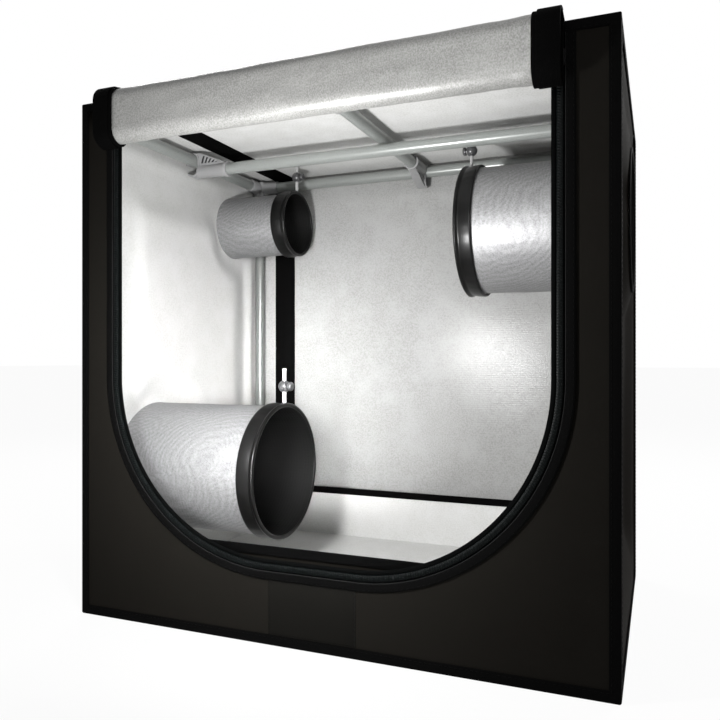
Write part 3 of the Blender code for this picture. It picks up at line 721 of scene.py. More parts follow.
def make_cord(place):
    """The drawcord's tail: straight up out of the cuff, with a melted and slightly spread tip."""
    low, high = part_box(f"drawcord_{place}")
    middle = (low + high) / 2
    radius = (high.y - low.y) / 2
    tip = high.z
    profile = [
        (low.z, 0), (low.z, radius), (tip - 0.0040, radius), (tip - 0.0022, radius + 0.0001),
        (tip - 0.0008, radius + 0.0002), (tip - 0.0002, radius), (tip, radius * 0.5), (tip, 0),
    ]
    # The two upper cords take the darker copy of the braid: painted shade
    braid = cord_braid if place == "lower_left" else shaded_braid
    cord = turned(f"braided_cord_{place}", profile, "Z", middle, 20, braid)
    wrap_cloth_map(cord, "Z", middle, radius)
    kept(cord, f"drawcord_{place}", angle=60)
    path = [(middle.x, middle.y, z) for z in spaced(low.z, tip, 12)]
    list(make_cord_lock(place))


def make_cord_lock(place):
    """The lock's ball with its cord bore and flat, and the plunger's button."""
    ball_low, ball_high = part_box(f"cord_lock_{place}")
    cord_low, cord_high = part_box(f"drawcord_{place}")
    button_low, button_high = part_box(f"lock_button_{place}")
    radius = (ball_high.y - ball_low.y) / 2
    cord_radius = (cord_high.y - cord_low.y) / 2
    middle = (ball_low + ball_high) / 2
    middle.x = (cord_low.x + cord_high.x) / 2
    out = 1 if (button_low.x + button_high.x) / 2 > middle.x else -1
    select_none()
    bpy.ops.mesh.primitive_uv_sphere_add(
        segments=40, ring_count=24, radius=radius, location=middle, rotation=(0, quarter_turn, 0),
    )
    ball = settle(f"lock_ball_{place}", lock_plastic)
    button_radius = (button_high.z - button_low.z) / 2
    seat = math.sqrt(radius**2 - button_radius**2)
    edit(ball, whole=True)
    bpy.ops.mesh.bisect(
        plane_co=middle + Vector((out * seat, 0, 0)), plane_no=(out, 0, 0), use_fill=True, clear_outer=True,
    )
    done()
    bore = cord_radius + touch_gap
    reach = 0.02
    cut(ball, rod("bore", "Z", middle.z - reach, middle.z + reach, middle, bore, 32, lock_plastic))
    well_low, well_high = sorted((middle.x - out * 0.0056, middle.x + out * reach))
    cut(ball, rod("well", "X", well_low, well_high, middle, 0.0039, 32, lock_plastic))
    soften(ball, 0.0003, 50)
    kept(ball, f"cord_lock_{place}", f"lock_{place}", angle=40)
    tip = max(abs(button_low.x - middle.x), abs(button_high.x - middle.x))
    head = tip - 0.0040
    stem_start, stem_radius = bore + 0.0020, 0.0036
    profile = [
        (stem_start, 0), (stem_start, stem_radius), (head, stem_radius), (head, button_radius - 0.0004),
        (head + 0.0004, button_radius), (tip - 0.0014, button_radius), (tip - 0.0005, button_radius - 0.0005),
        (tip, button_radius - 0.0015), (tip, button_radius * 0.5), (tip - 0.0005, 0),
    ]
    profile = [(middle.x + out * along, r) for along, r in profile]
    button = turned(f"lock_plunger_{place}", profile, "X", middle, 36, lock_plastic)
    kept(button, f"lock_button_{place}", f"button_{place}", angle=40)
    return ball, button


# Fabric box

def opening_offset(p):
    """How far a point lies outside the U of the opening, and the direction away from it."""
    side = 1 if p.x > 0 else -1
    if p.z >= opening_corner_z:
        return abs(p.x) - opening_half_width, Vector((side, 0, 0))
    if abs(p.x) <= opening_corner_x:
        return opening_corner_z - opening_radius - p.z, Vector((0, 0, -1))
    arm = Vector((p.x - side * opening_corner_x, 0, p.z - opening_corner_z))
    return arm.length - opening_radius, arm.normalized()


def open_panel(piece, offset_of, edge_offset):
    """Deletes the grid's faces inside an opening and draws the border out to a clean line."""
    edit(piece)
    pick(piece, lambda middle, normal: offset_of(middle)[0] < edge_offset)
    bpy.ops.mesh.delete(type="FACE")
    bpy.ops.mesh.select_mode(type="VERT")
    bpy.ops.mesh.select_non_manifold(extend=False)
    bm = bmesh.from_edit_mesh(piece.data)
    for vert in bm.verts:
        distance, away = offset_of(vert.co)
        if vert.select and distance < edge_offset + 0.012:
            vert.co -= away * (distance - edge_offset)
    bmesh.update_edit_mesh(piece.data)
    done()


def fabric_panel(side, outside, inside, relief=None, cell=0.006, openings=()):
    """A cloth wall: canvas outside, film inside, with soft relief inwards."""
    node = f"{side}_panel"
    low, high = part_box(node)
    size = high - low
    thin = min(range(3), key=lambda i: size[i])
    centre = (low + high) / 2
    sign = 1 if centre[thin] > tent_middle[thin] else -1
    centre[thin] = high[thin] if sign > 0 else low[thin]
    turn, spans = [
        ((0, quarter_turn, 0), (size.z, size.y)),
        ((quarter_turn, 0, 0), (size.x, size.z)),
        ((0, 0, 0), (size.x, size.y)),
    ][thin]
    cells = [max(round(span / cell), 1) for span in spans]
    piece = grid(f"{side}_cloth", centre, turn, spans, cells, outside)
    for offset_of, edge_offset in openings:
        open_panel(piece, offset_of, edge_offset)
    away = Vector([sign if i == thin else 0 for i in range(3)])
    if relief:
        shape(piece, lambda p: p - away * relief(p))
    line_cloth(piece, inside, away, size[thin])
    kept(piece, node, angle=50)
    return piece, spans


def bell(value, middle, width):
    """1 at the middle, and nearly 0 twice the width away from it."""
    return math.exp(-(((value - middle) / width) ** 2))


def rise(value, start, end):
    """0 up to start, 1 from end on, smooth between them."""
    share = limited((value - start) / (end - start))
    return share * share * (3 - 2 * share)


def side_relief(p):
    """The side walls belly inwards a little, and dip beside the uprights, the top rails and the ports."""
    from_rear = half_depth - p.y
    from_front = half_depth + p.y
    from_top = tent_height - p.z
    sway = 0.8 + 0.25 * noise.noise(Vector((0, p.y * 6, p.z * 5)))
    belly = 0.0150 * rise(from_rear, 0.040, 0.096) * rise(from_front, 0.05, 0.10)
    belly *= rise(from_top, 0.050, 0.170) * rise(p.z, 0.03, 0.10)
    fold = 0.0048 * bell(from_top, 0.113, 0.020) * rise(from_front, 0.04, 0.11) * rise(from_rear, 0.06, 0.16)
    hugs = 0.0056 * bell(from_rear, 0.029, 0.0115) + 0.0040 * bell(from_top, 0.034, 0.012)
    slack = 0.0005 * (1 + noise.noise(Vector((3, p.y * 11, p.z * 11))))
    free = wide_free = limited(min(from_rear, from_front, from_top, p.z) / 0.012)
    for place, side in sleeve_sides.items():
        if side * p.x > 0:
            from_port = spoke(p, port_centres[place]).length - port_radii[place]
            free *= rise(from_port, 0.0, 0.045)
            wide_free *= rise(from_port, 0.0, 0.020)
    return ((belly + hugs) * sway + slack) * free + fold * wide_free


def back_relief(p):
    """Very soft waves in the rear wall."""
    border = min(half_width - abs(p.x), tent_height - p.z, p.z) / 0.03
    wavy = 1 + noise.noise(Vector((p.x * 8, 5, p.z * 8)))
    rail = bell(tent_height - p.z, 0.046, 0.010) * 0.0018
    return (0.0010 * wavy + rail) * limited(border)


def roof_relief(p):
    """The roof sags a little between the rails and bars."""
    border = min(half_width - abs(p.x), half_depth - abs(p.y)) / 0.05
    wavy = 1 + 0.5 * noise.noise(Vector((p.x * 9, p.y * 9, 2)))
    return 0.0012 * wavy * limited(border)


def front_relief(p):
    """The front wall is flat beside its opening and at its edges."""
    wavy = 1 + noise.noise(Vector((p.x * 6, 9, p.z * 6)))
    away = limited(opening_offset(p)[0] / 0.06)
    border = limited(min(half_width - abs(p.x), p.z) / 0.03)
    return 0.0007 * wavy * away * border


def port_offset(place):
    """A function that says how far a point of a side wall lies from a port's middle, and which way."""
    def offset(p):
        arm = spoke(p, port_centres[place])
        return arm.length, arm.normalized()

    return offset


def make_fabric_box():
    """The six cloth walls, with the door's opening and the ports cut out."""
    opening = [(opening_offset, 0.004)]
    piece, spans = fabric_panel("front", canvas, side_lining, front_relief, 0.005, opening)
    gap = (zip_top - opening_corner_z) * 2 * opening_half_width
    foot = opening_radius * 2 * opening_corner_x + math.pi * opening_radius**2 / 2
    spans[0] * spans[1] - gap - foot
    piece, spans = fabric_panel("back", canvas, back_lining, back_relief)
    piece, spans = fabric_panel("roof", canvas, roof_lining, roof_relief)
    piece, spans = fabric_panel("floor", canvas, tray_lining, None, 0.012)
    for hand, side in (("left", -1), ("right", 1)):
        places = [place for place in sleeve_sides if sleeve_sides[place] == side]
        ports = [(port_offset(place), port_radii[place] + touch_gap) for place in places]
        piece, spans = fabric_panel(hand, side_canvas, side_lining, side_relief, 0.005, ports)
        area = spans[0] * spans[1] - sum(math.pi * radius**2 for _, radius in ports)


def make_edge_binding():
    """Folded tape over the twelve edges, from a box whose faces are inset and taken out."""
    width, thickness, rounding = 0.0105, 0.0008, 0.0014
    piece = block("bound_edges", tent_low, tent_high, binding_tape)
    edit(piece, whole=True)
    bpy.ops.mesh.inset(thickness=width, use_individual=True)
    bpy.ops.mesh.delete(type="FACE")
    bpy.ops.mesh.select_mode(type="EDGE")

    def on_edge(point, edge):
        flush = 0
        for i in range(3):
            for limit in (tent_low[i], tent_high[i]):
                flush += all(abs(vert.co[i] - limit) < weld for vert in edge.verts)
        return flush == 2

    pick(piece, on_edge, "EDGE")
    bpy.ops.mesh.bevel(offset=rounding, segments=4, affect="EDGES")
    bpy.ops.mesh.select_all(action="SELECT")
    bpy.ops.mesh.normals_make_consistent(inside=False)
    done()
    modify(piece, "SOLIDIFY", thickness=thickness, offset=-1, use_even_offset=True)
    soften(piece, 0.00025, 60)
    kept(piece, "edge_binding", angle=40)
    seam = width - 0.0022
    proud = 0.0002
    low, high = tent_low + Vector((seam,) * 3), tent_high - Vector((seam,) * 3)
    runs = []
    for axis in range(3):
        faces = [tent_high[axis] + proud] if axis == 2 else [-tent_high[axis] - proud, tent_high[axis] + proud]
        along, across = [i for i in range(3) if i != axis]
        for level in faces:
            for first, second in ((along, across), (across, along)):
                for seat in (low[second], high[second]):
                    start, end = Vector(), Vector()
                    start[axis] = end[axis] = level
                    start[second] = end[second] = seat
                    start[first], end[first] = low[first], high[first]
                    runs.append((start, end))
    stitch_runs("binding_stitches", runs, black_thread)


# Zip round the opening

def swept_round_opening(name, profile, material):
    """A closed profile of (offset, y) points, drawn down one side of the opening, round its foot and up."""
    start = [(-(opening_half_width + offset), y, zip_top) for offset, y in profile]
    piece = wire(name, start, True, material)
    edit(piece, "EDGE", whole=True)
    extrude(0, opening_corner_z - zip_top)
    for x in (-opening_corner_x, opening_corner_x):
        bpy.ops.mesh.spin(steps=40, angle=quarter_turn, center=(x, 0, opening_corner_z), axis=(0, 1, 0))
        if x < 0:
            extrude(2 * opening_corner_x, 0)
    extrude(0, zip_top - opening_corner_z)
    bpy.ops.mesh.select_all(action="SELECT")
    bpy.ops.mesh.fill_holes(sides=0)
    done()
    tidy_mesh(piece)
    return piece


def round_opening(offset):
    """A function of the distance along the zip's line that gives its point and direction."""
    radius = opening_radius + offset
    down = zip_top - opening_corner_z
    bend = radius * quarter_turn
    foot = 2 * opening_corner_x
    total = 2 * down + 2 * bend + foot

    def at(distance):
        if distance > total / 2:
            x, z, dx, dz = at(total - distance)
            return -x, z, dx, -dz
        if distance < down:
            return -(opening_half_width + offset), zip_top - distance, 0.0, -1.0
        if distance < down + bend:
            angle = math.pi + (distance - down) / radius
            x, z = math.cos(angle), math.sin(angle)
            return -opening_corner_x + radius * x, opening_corner_z + radius * z, -z, x
        return -opening_corner_x + distance - down - bend, opening_corner_z - radius, 1.0, 0.0

    return at, total


def make_zip():
    """Flat tape with a folded edge on each side, the ribbed coil on its core, the stitches, and a pale grey bead
    along each fold's inner edge that is a painted highlight.
    """
    back, face = zip_high.y, front_face
    # The bead's pale grey is a painted highlight on the fold's inner edge
    highlight_bead = [(0.0127 + 0.00022 * math.cos(a), face - 0.0011 + 0.00022 * math.sin(a)) for a in spaced(0, math.tau, 8)]
    bands = {
        "zip_tape_band": (zip_tape, "zip_chain", [
            (0.0003, back - 0.0001), (0, (back + face) / 2), (0.0003, face), (0.0036, face), (0.0040, face + 0.0002),
            (0.0108, face + 0.0002), (0.0112, face), (0.0214, face), (0.0215, back),
        ]),
        "zip_fold": (binding_tape, None, [
            (0.0124, face - 0.00005), (0.0122, face - 0.0005), (0.0126, face - 0.0010), (0.0134, face - 0.0011),
            (0.0200, face - 0.0009), (0.0211, face - 0.0007), (0.0216, face - 0.0002), (0.0214, face - 0.00005),
        ]),
        "zip_inner_fold": (zip_tape, None, [
            (0.0002, face - 0.00005), (0.0000, face - 0.0004), (0.0006, face - 0.0009), (0.0020, face - 0.0010),
            (0.0036, face - 0.0008), (0.0042, face - 0.0003), (0.0040, face - 0.00005),
        ]),
        "zip_coil_core": (coil_nylon, None, [
            (0.0046, face), (0.0050, face - 0.0012), (0.0064, face - 0.0019), (0.0090, face - 0.0019),
            (0.0104, face - 0.0012), (0.0108, face),
        ]),
        # A grey bead on the fold's inner edge: painted highlight
        "zip_fold_highlight": (grey_thread_and_highlight, None, highlight_bead[:-1]),
    }
    for name, (material, node, profile) in bands.items():
        kept(swept_round_opening(name, profile, material), node, angle=40)
    select_none()
    bpy.ops.mesh.primitive_torus_add(
        major_radius=0.0027, minor_radius=0.0009, major_segments=14, minor_segments=7, rotation=(quarter_turn, 0, 0),
    )
    rib = settle("coil_rib", coil_nylon)
    shape(rib, lambda p: Vector((p.x, p.y, p.z * 0.8)))
    edit(rib, "VERT")
    pick(rib, lambda p: p.z < -0.0006, "VERT")
    bpy.ops.mesh.delete(type="VERT")
    done()
    coil_offset, pitch = 0.0077, 0.0026
    at, total = round_opening(coil_offset)
    count = int(total / pitch)
    lean = Matrix.Rotation(math.radians(12), 4, "Z")
    out = Vector((0, -1, 0))
    places = []
    for i in range(count):
        x, z, dx, dz = at((i + 0.5) * total / count)
        along = Vector((dx, 0, dz))
        turn = Matrix((out.cross(along), along, out)).transposed().to_4x4()
        places.append(Matrix.Translation((x, face + 0.0002, z)) @ turn @ lean)
    kept(copies("zip_coil", rib, places, coil_nylon))
    runs = []
    for offset in (0.0142, 0.0196):
        at, total = round_opening(offset)
        points = [(x, face - 0.0011, z) for x, z, _, _ in map(at, spaced(0, total, 120))]
        runs += zip(points, points[1:])
    stitch_runs("zip_stitches", runs, black_thread, length=0.0030, pitch=0.0045)


def refined(node, name, material, body="root", width=0.0003):
    """A merged copy of a CAD node, with its flat faces cleaned and its edges softly rounded."""
    piece = put(name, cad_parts[node].data.copy(), material)
    edit(piece, whole=True)
    bpy.ops.mesh.remove_doubles(threshold=weld)
    bpy.ops.mesh.customdata_custom_splitnormals_clear()
    bpy.ops.mesh.dissolve_limited(angle_limit=math.radians(1))
    done()
    soften(piece, width, 40)
    kept(piece, node, body, angle=35)
    return piece


def make_sliders():
    """The zip's two sliders and their pull tabs, from the frame's own shapes."""
    for hand in ("left", "right"):
        refined(f"zip_slider_{hand}", f"slider_body_{hand}", slider_enamel, f"slider_{hand}")
        refined(f"pull_tab_{hand}", f"slider_tab_{hand}", slider_enamel, f"tab_{hand}", 0.0002)


# Rolled door and its straps

def roll_corners(inset, steps=8):
    """The four rounded corners of the roll's section, as (y, z) points in winding order, drawn in by inset."""
    low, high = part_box("door_roll")
    front, back = low.y + inset, roll_back - inset
    top, bottom = high.z - inset, low.z + inset
    front_radius = max(0.015 - inset, 0.0016)
    back_radius = max(0.006 - inset, 0.0012)
    return [
        arc((front + front_radius, top - front_radius), front_radius, 90, 180, steps),
        arc((front + front_radius, bottom + front_radius), front_radius, 180, 270, steps),
        arc((back - back_radius, bottom + back_radius), back_radius, 270, 360, steps),
        arc((back - back_radius, top - back_radius), back_radius, 0, 90, steps),
    ]


def make_roll():
    """The door as one spiral of film-faced cloth, crinkled on its outer turn."""
    low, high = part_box("door_roll")
    half, pitch, turns, steps = cloth_thickness / 2, 0.0018, 5, 8
    path = [(high.y, tent_height - 0.0020 - half)]
    per_turn = 4 * (steps + 1)
    for i in range(turns * per_turn):
        corner, step = divmod(i % per_turn, steps + 1)
        path.append(roll_corners(half + pitch * i / per_turn, steps)[corner][step])
    path = even_path(path, 0.0024)
    length = sum((b - a).length for a, b in zip(path, path[1:]))
    crinkled_length = 0.150
    outer_count = sum(1 for i in range(len(path)) if length * i / len(path) < crinkled_length)
    frames = path_frames(path)
    rows = []
    for x in spaced(low.x, high.x, 124):
        at_strap = limited((high.x - 0.024 - abs(x)) / 0.012)
        faces = ([], [])
        for i, (point, direction) in enumerate(frames):
            normal = Vector((direction.y, -direction.x))
            crinkle = 0.0
            if i < outer_count:
                free = min(i / 8, (outer_count - i) / 8, 1) * at_strap
                spot = Vector((x * 26, point.x * 70, point.y * 70))
                fine = Vector((x * 150, point.x * 110, point.y * 110))
                crinkle = free * (0.0007 * (1 + noise.noise(spot)) + 0.00022 * noise.noise(fine))
            for side, sign in ((0, -1), (1, 1)):
                faces[side].append((x, *(point - normal * (sign * half + crinkle))))
        rows.append(faces[0] + faces[1][::-1])
    roll = skin("rolled_door", rows, roll_lining)
    kept(roll, "door_roll", angle=50)


def make_straps():
    """A strap round each end of the roll, with a second layer where its end laps over."""
    thickness = 0.0014
    outset = -(touch_gap + thickness / 2)
    top_front, bottom_front, bottom_rear, _ = roll_corners(outset)
    lap_outset = outset - thickness - 0.0001
    lap_top, lap_bottom, lap_rear, _ = roll_corners(lap_outset)
    lap_start = (lap_top[0][0] + 0.004, lap_top[0][1] - 0.0004)
    lap_path = even_path([lap_start, *lap_top, *lap_bottom, lap_rear[0]], 0.002)
    step = 0.0045
    for hand in ("left", "right"):
        low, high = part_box(f"strap_{hand}")
        start = (front_face - touch_gap, min(high.z, tent_height + touch_gap) - thickness / 2)
        end = (bottom_rear[-1][0], high.z - 0.0095)
        path = even_path([start, *top_front, *bottom_front, *bottom_rear, end], 0.002)
        strap = belt(
            f"roll_strap_{hand}", path, low.x, high.x, thickness, strap_tape,
            lambda x, travelled: 0.00025 * noise.noise(Vector((x * 60, travelled * 45, 7))),
        )
        kept(strap, f"strap_{hand}", angle=50)
        near, far = (low.x, high.x - step) if hand == "left" else (low.x + step, high.x)
        flap = belt(
            f"strap_lap_{hand}", lap_path, near, far, thickness * 0.8, strap_tape,
            lambda x, travelled: 0.0002 * noise.noise(Vector((x * 60, travelled * 50, 3))) - 0.0001,
        )
        kept(flap, angle=50)


# Sleeves, cuffs and port trims

def make_sleeve(place):
    """A slightly slack tube of film, with its cuff and the trim of its port."""
    low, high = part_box(f"sleeve_{place}")
    side = sleeve_sides[place]
    middle = (low + high) / 2
    radius = port_radii[place]
    outside, end = (high.x, low.x) if side > 0 else (low.x, high.x)
    profile = [(x, radius) for x in spaced(outside, end, 40)]
    sleeve = turned(f"sleeve_cloth_{place}", profile, "X", middle, 112, sleeve_outer)

    def relax(p):
        arm = spoke(p, middle)
        angle = math.atan2(arm.z, arm.y)
        share = abs(p.x - outside) / abs(end - outside)
        free = min(share / 0.2, (1 - share) / 0.15, 1)
        wavy = noise.noise(Vector((p.x * 14, math.cos(angle) * 1.6, math.sin(angle) * 1.6 + 4)))
        pucker = noise.noise(Vector((p.x * 5, math.cos(angle) * 9, math.sin(angle) * 9)))
        drop = 0.0012 * free * (0.5 + 0.5 * wavy) + 0.0004 * pucker * min((1 - share) / 0.05, share / 0.05, 1)
        return p - arm.normalized() * drop

    shape(sleeve, relax)
    line_cloth(sleeve, sleeve_inner, spoke(sleeve.data.polygons[0].center, middle), cloth_thickness)
    wrap_cloth_map(sleeve, "X", middle, radius)
    kept(sleeve, f"sleeve_{place}", angle=50)
    make_cuff(place, side, middle, radius)
    make_port_trim(place, side, middle, radius)


def make_cuff(place, side, middle, radius):
    """The cuff: a hemmed band with a full round lip, from one closed profile."""
    low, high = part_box(f"cuff_{place}")
    mouth, inner_end = (low.x, high.x) if side > 0 else (high.x, low.x)
    lip_radius = (high.z - low.z) / 2
    band_in, band_out = radius + touch_gap, radius + 0.0017
    inner = radius - 0.0018
    lip_half = (lip_radius - inner) / 2
    lip_middle = (lip_radius + inner) / 2
    lip_depth = side * 0.0045
    lip = [
        (mouth + lip_depth / 2 * (1 - math.sin(a)), lip_middle - lip_half * math.cos(a))
        for a in spaced(0, math.pi, 14)
    ]
    band_low = mouth + lip_depth * 1.25
    band_high = inner_end - side * 0.0012
    band = [
        (band_low + (band_high - band_low) * t, band_out - 0.0006 + 0.0022 * (1 - (1 - t) ** 2))
        for t in spaced(0, 1, 10)
    ]
    profile = [
        *lip, (mouth + lip_depth * 0.80, lip_radius - 0.0005), (mouth + lip_depth, band_out + 0.0002), *band,
        (inner_end - side * 0.0003, band_out + 0.0010), (inner_end, band_out),
        (inner_end, (band_in + band_out) / 2), (inner_end - side * 0.0002, band_in),
        (mouth + side * 0.0014, band_in), (mouth + side * 0.0014, inner),
    ]
    cuff = turned(f"elastic_cuff_{place}", profile, "X", middle, 128, cuff_elastic, closed=True)

    def gather(p):
        arm = spoke(p, middle)
        if arm.length < band_out - 0.0004:
            return p
        angle = math.atan2(arm.z, arm.y)
        pleats = math.sin(angle * 46 + 2 * math.sin(angle * 7))
        return p + arm.normalized() * 0.00018 * pleats * bell(p.x, inner_end - side * 0.008, 0.007)

    shape(cuff, gather)
    wrap_cloth_map(cuff, "X", middle, radius)
    kept(cuff, f"cuff_{place}", angle=60)


def make_port_trim(place, side, middle, radius):
    """The bound edge of the port on the tent's outside."""
    face = side * half_width
    proud = side * 0.0012
    root = face - side * 0.0008
    width = 0.0062
    inner = radius - 0.0012
    ring = [
        (root, inner), (face + proud * 0.4, inner - 0.0004), (face + proud, inner + 0.0012),
        (face + proud, inner + width * 0.6), (face + proud * 0.5, inner + width), (root, inner + width),
    ]
    trim = turned(f"port_binding_{place}", ring, "X", middle, 112, binding_tape, closed=True)
    kept(trim, angle=50)
    seam = arc((middle.y, middle.z), inner + width * 0.55, 0, 360, 96)
    points = [(face + proud * 1.05, *point) for point in seam]
    stitch_runs(f"port_stitches_{place}", zip(points, points[1:]), black_thread)


# Tubes, connectors and clips

def shade_slots(clip, node, across):
    """The faces at the floor of a clip's deep, narrow web slots take a near-black finish: painted shade. Across is
    the axis that they are cut along.
    """
    low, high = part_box(node)
    middle = (low[across] + high[across]) / 2
    slot_floor, web_face = 0.0036, 0.0061
    clip.data.materials.append(slot_shade_plastic)
    for face in clip.data.polygons:
        depths = [abs(clip.data.vertices[i].co[across] - middle) for i in face.vertices]
        if abs(min(depths) - slot_floor) < 0.0003 and max(depths) < web_face:
            face.material_index = 1


def make_tubes():
    """Coated tubes with open ends."""
    wall, bore_depth = 0.0008, 0.012
    bodies = {"crossbar_tube": "crossbar", "centre_bar_tube": "centre_bar"}
    nodes = list(bodies)
    nodes += [f"{level}_rail_{side}" for level in ("bottom", "top") for side in ("front", "rear", "left", "right")]
    nodes += [f"upright_{end}_{hand}" for end in ("front", "rear") for hand in ("left", "right")]
    for node in nodes:
        low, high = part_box(node)
        size = high - low
        long = max(range(3), key=lambda i: size[i])
        radius = min(size) / 2
        # The uprights take the darker copy of the coating: painted shade
        coat = upright_coat if node.startswith("upright") else tube_coat
        tube = rod(f"steel_{node}", "XYZ"[long], low[long], high[long], (low + high) / 2, radius, 48, coat)
        edit(tube)
        pick(tube, lambda middle, normal: abs(normal[long]) > 0.9)
        bpy.ops.mesh.inset(thickness=wall, use_individual=True)
        bpy.ops.mesh.inset(thickness=0.00001, depth=-bore_depth, use_individual=True)
        done()
        kept(tube, node, bodies.get(node, "root"), angle=40)


def make_moulded_parts():
    """The corner connectors and the bars' clips, from the frame's own shapes."""
    for level in ("bottom", "top"):
        for end in ("front", "rear"):
            for hand in ("left", "right"):
                node = f"corner_{level}_{end}_{hand}"
                refined(node, f"moulded_{node}", clip_plastic, width=0.0005)
    for body, ends in (("crossbar", ("left", "right")), ("centre_bar", ("front", "rear"))):
        for end in ends:
            node = f"{body}_clip_{end}"
            clip = refined(node, f"moulded_{node}", clip_plastic, body, 0.0004)
            # The slot floors get the near-black finish: painted shade
            shade_slots(clip, node, 1 if body == "crossbar" else 0)


# Tray, webbing and patch

def make_tray():
    """The lift-out tray, from a grid whose border is extruded up into walls."""
    low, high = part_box("floor_tray")
    sleeve_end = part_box("sleeve_lower_left")[1].x
    sleeve_middle = port_centres["lower_left"]
    clearance = port_radii["lower_left"] + 0.0035
    chord = 0.0096
    size = high - low
    cells = (round(size.x / chord), round(size.y / chord))
    middle = (low + high) / 2
    middle.z = low.z
    tray = grid("tray_cloth", middle, (0, 0, 0), (size.x, size.y), cells, canvas)
    edit(tray, "EDGE")
    pick(tray, lambda point, edge: edge.is_boundary, "EDGE")
    rises = 6
    for _ in range(rises):
        extrude(0, size.z / rises)
    done()

    def rim(x, y):
        """The rim's height, which dips where the lower sleeve passes over it."""
        arm = clearance**2 - (y - sleeve_middle.y) ** 2
        if x < 0 and abs(x) > sleeve_end * -0.5 and arm > 0:
            return min(high.z, sleeve_middle.z - math.sqrt(arm))
        return high.z

    def slack(p):
        """Cuts the corners by a chord, follows the rim and lets the walls sway inwards."""
        on_wall = [size[i] / 2 - abs(p[i] - middle[i]) < weld for i in (0, 1)]
        inwards = [(-1 if p[i] > middle[i] else 1) * on_wall[i] for i in (0, 1)]
        if all(on_wall):
            p += Vector((*inwards, 0)) * chord / 2
        share = (p.z - low.z) / size.z
        if share > 0.01:
            p.z = low.z + share * (rim(p.x, p.y) - low.z)
            sway = 0.0009 * (1 + noise.noise(Vector((p.x * 14, p.y * 14, p.z * 9)))) * math.sin(math.pi * share)
            if not all(on_wall):
                p += Vector((*inwards, 0)) * sway
        elif not any(on_wall):
            p.z += 0.0010 * max(noise.noise(Vector((p.x * 13, p.y * 13, 1))), 0)
        return p

    shape(tray, slack)
    edit(tray, whole=True)
    bpy.ops.mesh.normals_make_consistent(inside=False)
    done()
    floor_face = min(tray.data.polygons, key=lambda f: (f.center - middle).length)
    inwards = 1 if floor_face.normal.z < 0 else -1
    tray.data.materials.append(tray_lining)
    modify(
        tray, "SOLIDIFY", thickness=cloth_thickness, offset=-inwards, use_even_offset=True, material_offset=1,
        material_offset_rim=1,
    )
    tidy_mesh(tray)
    kept(tray, "floor_tray", angle=35)
    make_tray_hem(low, high, rim, chord)


def make_tray_hem(low, high, rim, chord):
    """Black tape folded over the tray's rim, following its dip under the sleeve."""
    hem_low, hem_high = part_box("tray_hem")
    corners = [
        (high.x, low.y + chord), (high.x, high.y - chord), (high.x - chord, high.y), (low.x + chord, high.y),
        (low.x, high.y - chord), (low.x, low.y + chord), (low.x + chord, low.y), (high.x - chord, low.y),
    ]
    line = even_path([*corners, corners[0]], 0.006)[:-1]
    outer, inner = 0.0013, -0.0025
    rows = []
    for i, point in enumerate(line):
        direction = (line[(i + 1) % len(line)] - line[i - 1]).normalized()
        away = Vector((direction.y, -direction.x))
        top = rim(point.x, point.y) + hem_high.z - high.z
        foot = top - (hem_high.z - hem_low.z)
        section = [
            (outer - 0.0010, foot), (outer, foot + 0.0002), (outer, top - 0.0006), (outer - 0.0006, top),
            (inner + 0.0006, top), (inner, top - 0.0006), (inner, foot + 0.0002), (inner + 0.0010, foot),
            (inner + 0.0010, top - 0.0013), (outer - 0.0010, top - 0.0013),
        ]
        rows.append([(*(point + away * offset), height) for offset, height in section])
    kept(skin("tray_rim_tape", rows, hem_tape, closed=True), "tray_hem", angle=40)


def make_webbing():
    """Two strips up the rear wall and forward under the roof."""
    half, bend = cloth_thickness / 2, 0.004
    for hand in ("left", "right"):
        low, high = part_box(f"webbing_{hand}")
        back, top = high.y - half, high.z - half
        turn = arc((back - bend, top - bend), bend, 0, 90, 8)
        path = even_path([(back, low.z), *turn, (low.y, top)], 0.004)
        strip = belt(
            f"black_webbing_{hand}", path, low.x, high.x, cloth_thickness, webbing_tape,
            lambda x, travelled: 0.0006 + 0.0005 * noise.noise(Vector((x * 20, travelled * 16, 1))),
        )
        kept(strip, f"webbing_{hand}", angle=50)


def make_patch():
    """A bare sewn patch under the opening, with one pale edge thread."""
    left, right, bottom, top = -0.049, 0.050, 0.0112, 0.0685
    face = front_face + 0.0011
    patch = block("front_patch", (left, face - 0.0005, bottom), (right, face + 0.0003, top), patch_cloth)
    soften(patch, 0.0002, 60)
    kept(patch, angle=40)
    front = face - 0.0006
    edge = right - 0.0002
    thread = [((edge, front, bottom + 0.001), (edge, front, top - 0.001))]
    stitch_runs("patch_thread", thread, grey_thread_and_highlight, length=0.0052)
    inset = 0.0016
    left, right, bottom, top = left + inset, right - inset, bottom + inset, top - inset
    corners = [(x, front, z) for x, z in ((left, bottom), (right, bottom), (right, top), (left, top), (left, bottom))]
    stitch_runs("patch_stitches", zip(corners, corners[1:]), black_thread)


# Stage and light

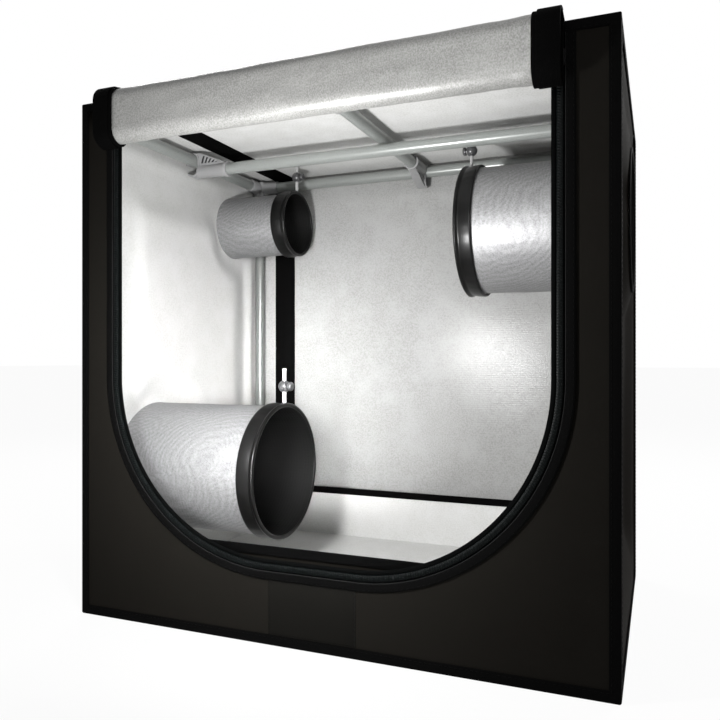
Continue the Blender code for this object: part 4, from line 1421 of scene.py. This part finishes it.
def white_for_camera(tree, ground, output, share):
    """Mixes a surface with plain white where a camera, a mirror or glass looks at it."""
    maker = Nodes(tree)
    rays = maker.node("LightPath").output.node.outputs
    camera, glossy, through = [Socket(maker, rays[f"Is {ray} Ray"]) for ray in ("Camera", "Glossy", "Transmission")]
    seen = maker.node("Math", {"operation": "ADD", "use_clamp": True}, (camera + glossy, through))
    kind = "Background" if ground.type == "BACKGROUND" else "Emission"
    white = maker.node(kind, values={"Color": 1, "Strength": 1.0})
    mixed = maker.node("MixShader", values=(seen * share, Socket(maker, ground.outputs[0]), white))
    maker.fill(output.inputs[0], mixed)


def make_stage():
    """A pale floor that bounces light and looks white."""
    finish = Finish("studio_floor", 0.9, specular=0.1)
    finish.set("Base Color", (0.88, 0.88, 0.87))
    select_none()
    bpy.ops.mesh.primitive_plane_add(size=60, location=(0, 0, 0))
    floor = settle("studio_floor", finish.material)
    white_for_camera(finish.material.node_tree, finish.shader, finish.nodes["Material Output"], 0.95)


def lamp(name, place, target, size, power, spread=180):
    """A square area lamp that looks at a target, with its power in watts and its spread in degrees."""
    data = bpy.data.lights.new(name, "AREA")
    data.energy = power
    data.size = size
    data.spread = math.radians(spread)
    light = put(name, data)
    light.location = place
    light.rotation_euler = (Vector(target) - Vector(place)).to_track_quat("-Z", "Y").to_euler()


def make_light():
    """Dim white surroundings, three lamps in front of the tent and two behind it."""
    world = bpy.data.worlds.new("studio")
    bpy.context.scene.world = world
    world.use_nodes = True
    nodes = world.node_tree.nodes
    ground = nodes["Background"]
    ground.inputs["Color"].default_value = (1, 1, 1, 1)
    ground.inputs["Strength"].default_value = 0.16
    white_for_camera(world.node_tree, ground, nodes["World Output"], 1.0)
    lamp("front_key", (-0.03, -0.40, 0.31), (-0.03, 0.0, 0.31), 0.06, 3.9)
    lamp("wall_beam", (0.45, -1.15, 0.28), (-0.25, 0.17, 0.24), 0.3, 0.90, 20)
    lamp("roll_light", (0.24, -0.85, 0.66), (0.22, -0.25, 0.585), 0.3, 0.12, 30)
    for hand, side in (("left", -1), ("right", 1)):
        lamp(f"rear_light_{hand}", (side * 1.00, 1.10, 1.40), (0.0, 0.1, 0.3), 0.8, 20)
    bpy.context.scene.view_settings.view_transform = "Standard"


set_camera()
for sleeve_place in sleeve_sides:
    make_cord(sleeve_place)
make_fabric_box()
make_edge_binding()
make_zip()
make_sliders()
make_roll()
make_straps()
for sleeve_place in sleeve_sides:
    make_sleeve(sleeve_place)
make_tubes()
make_moulded_parts()
make_tray()
make_webbing()
make_patch()
make_stage()
make_light()
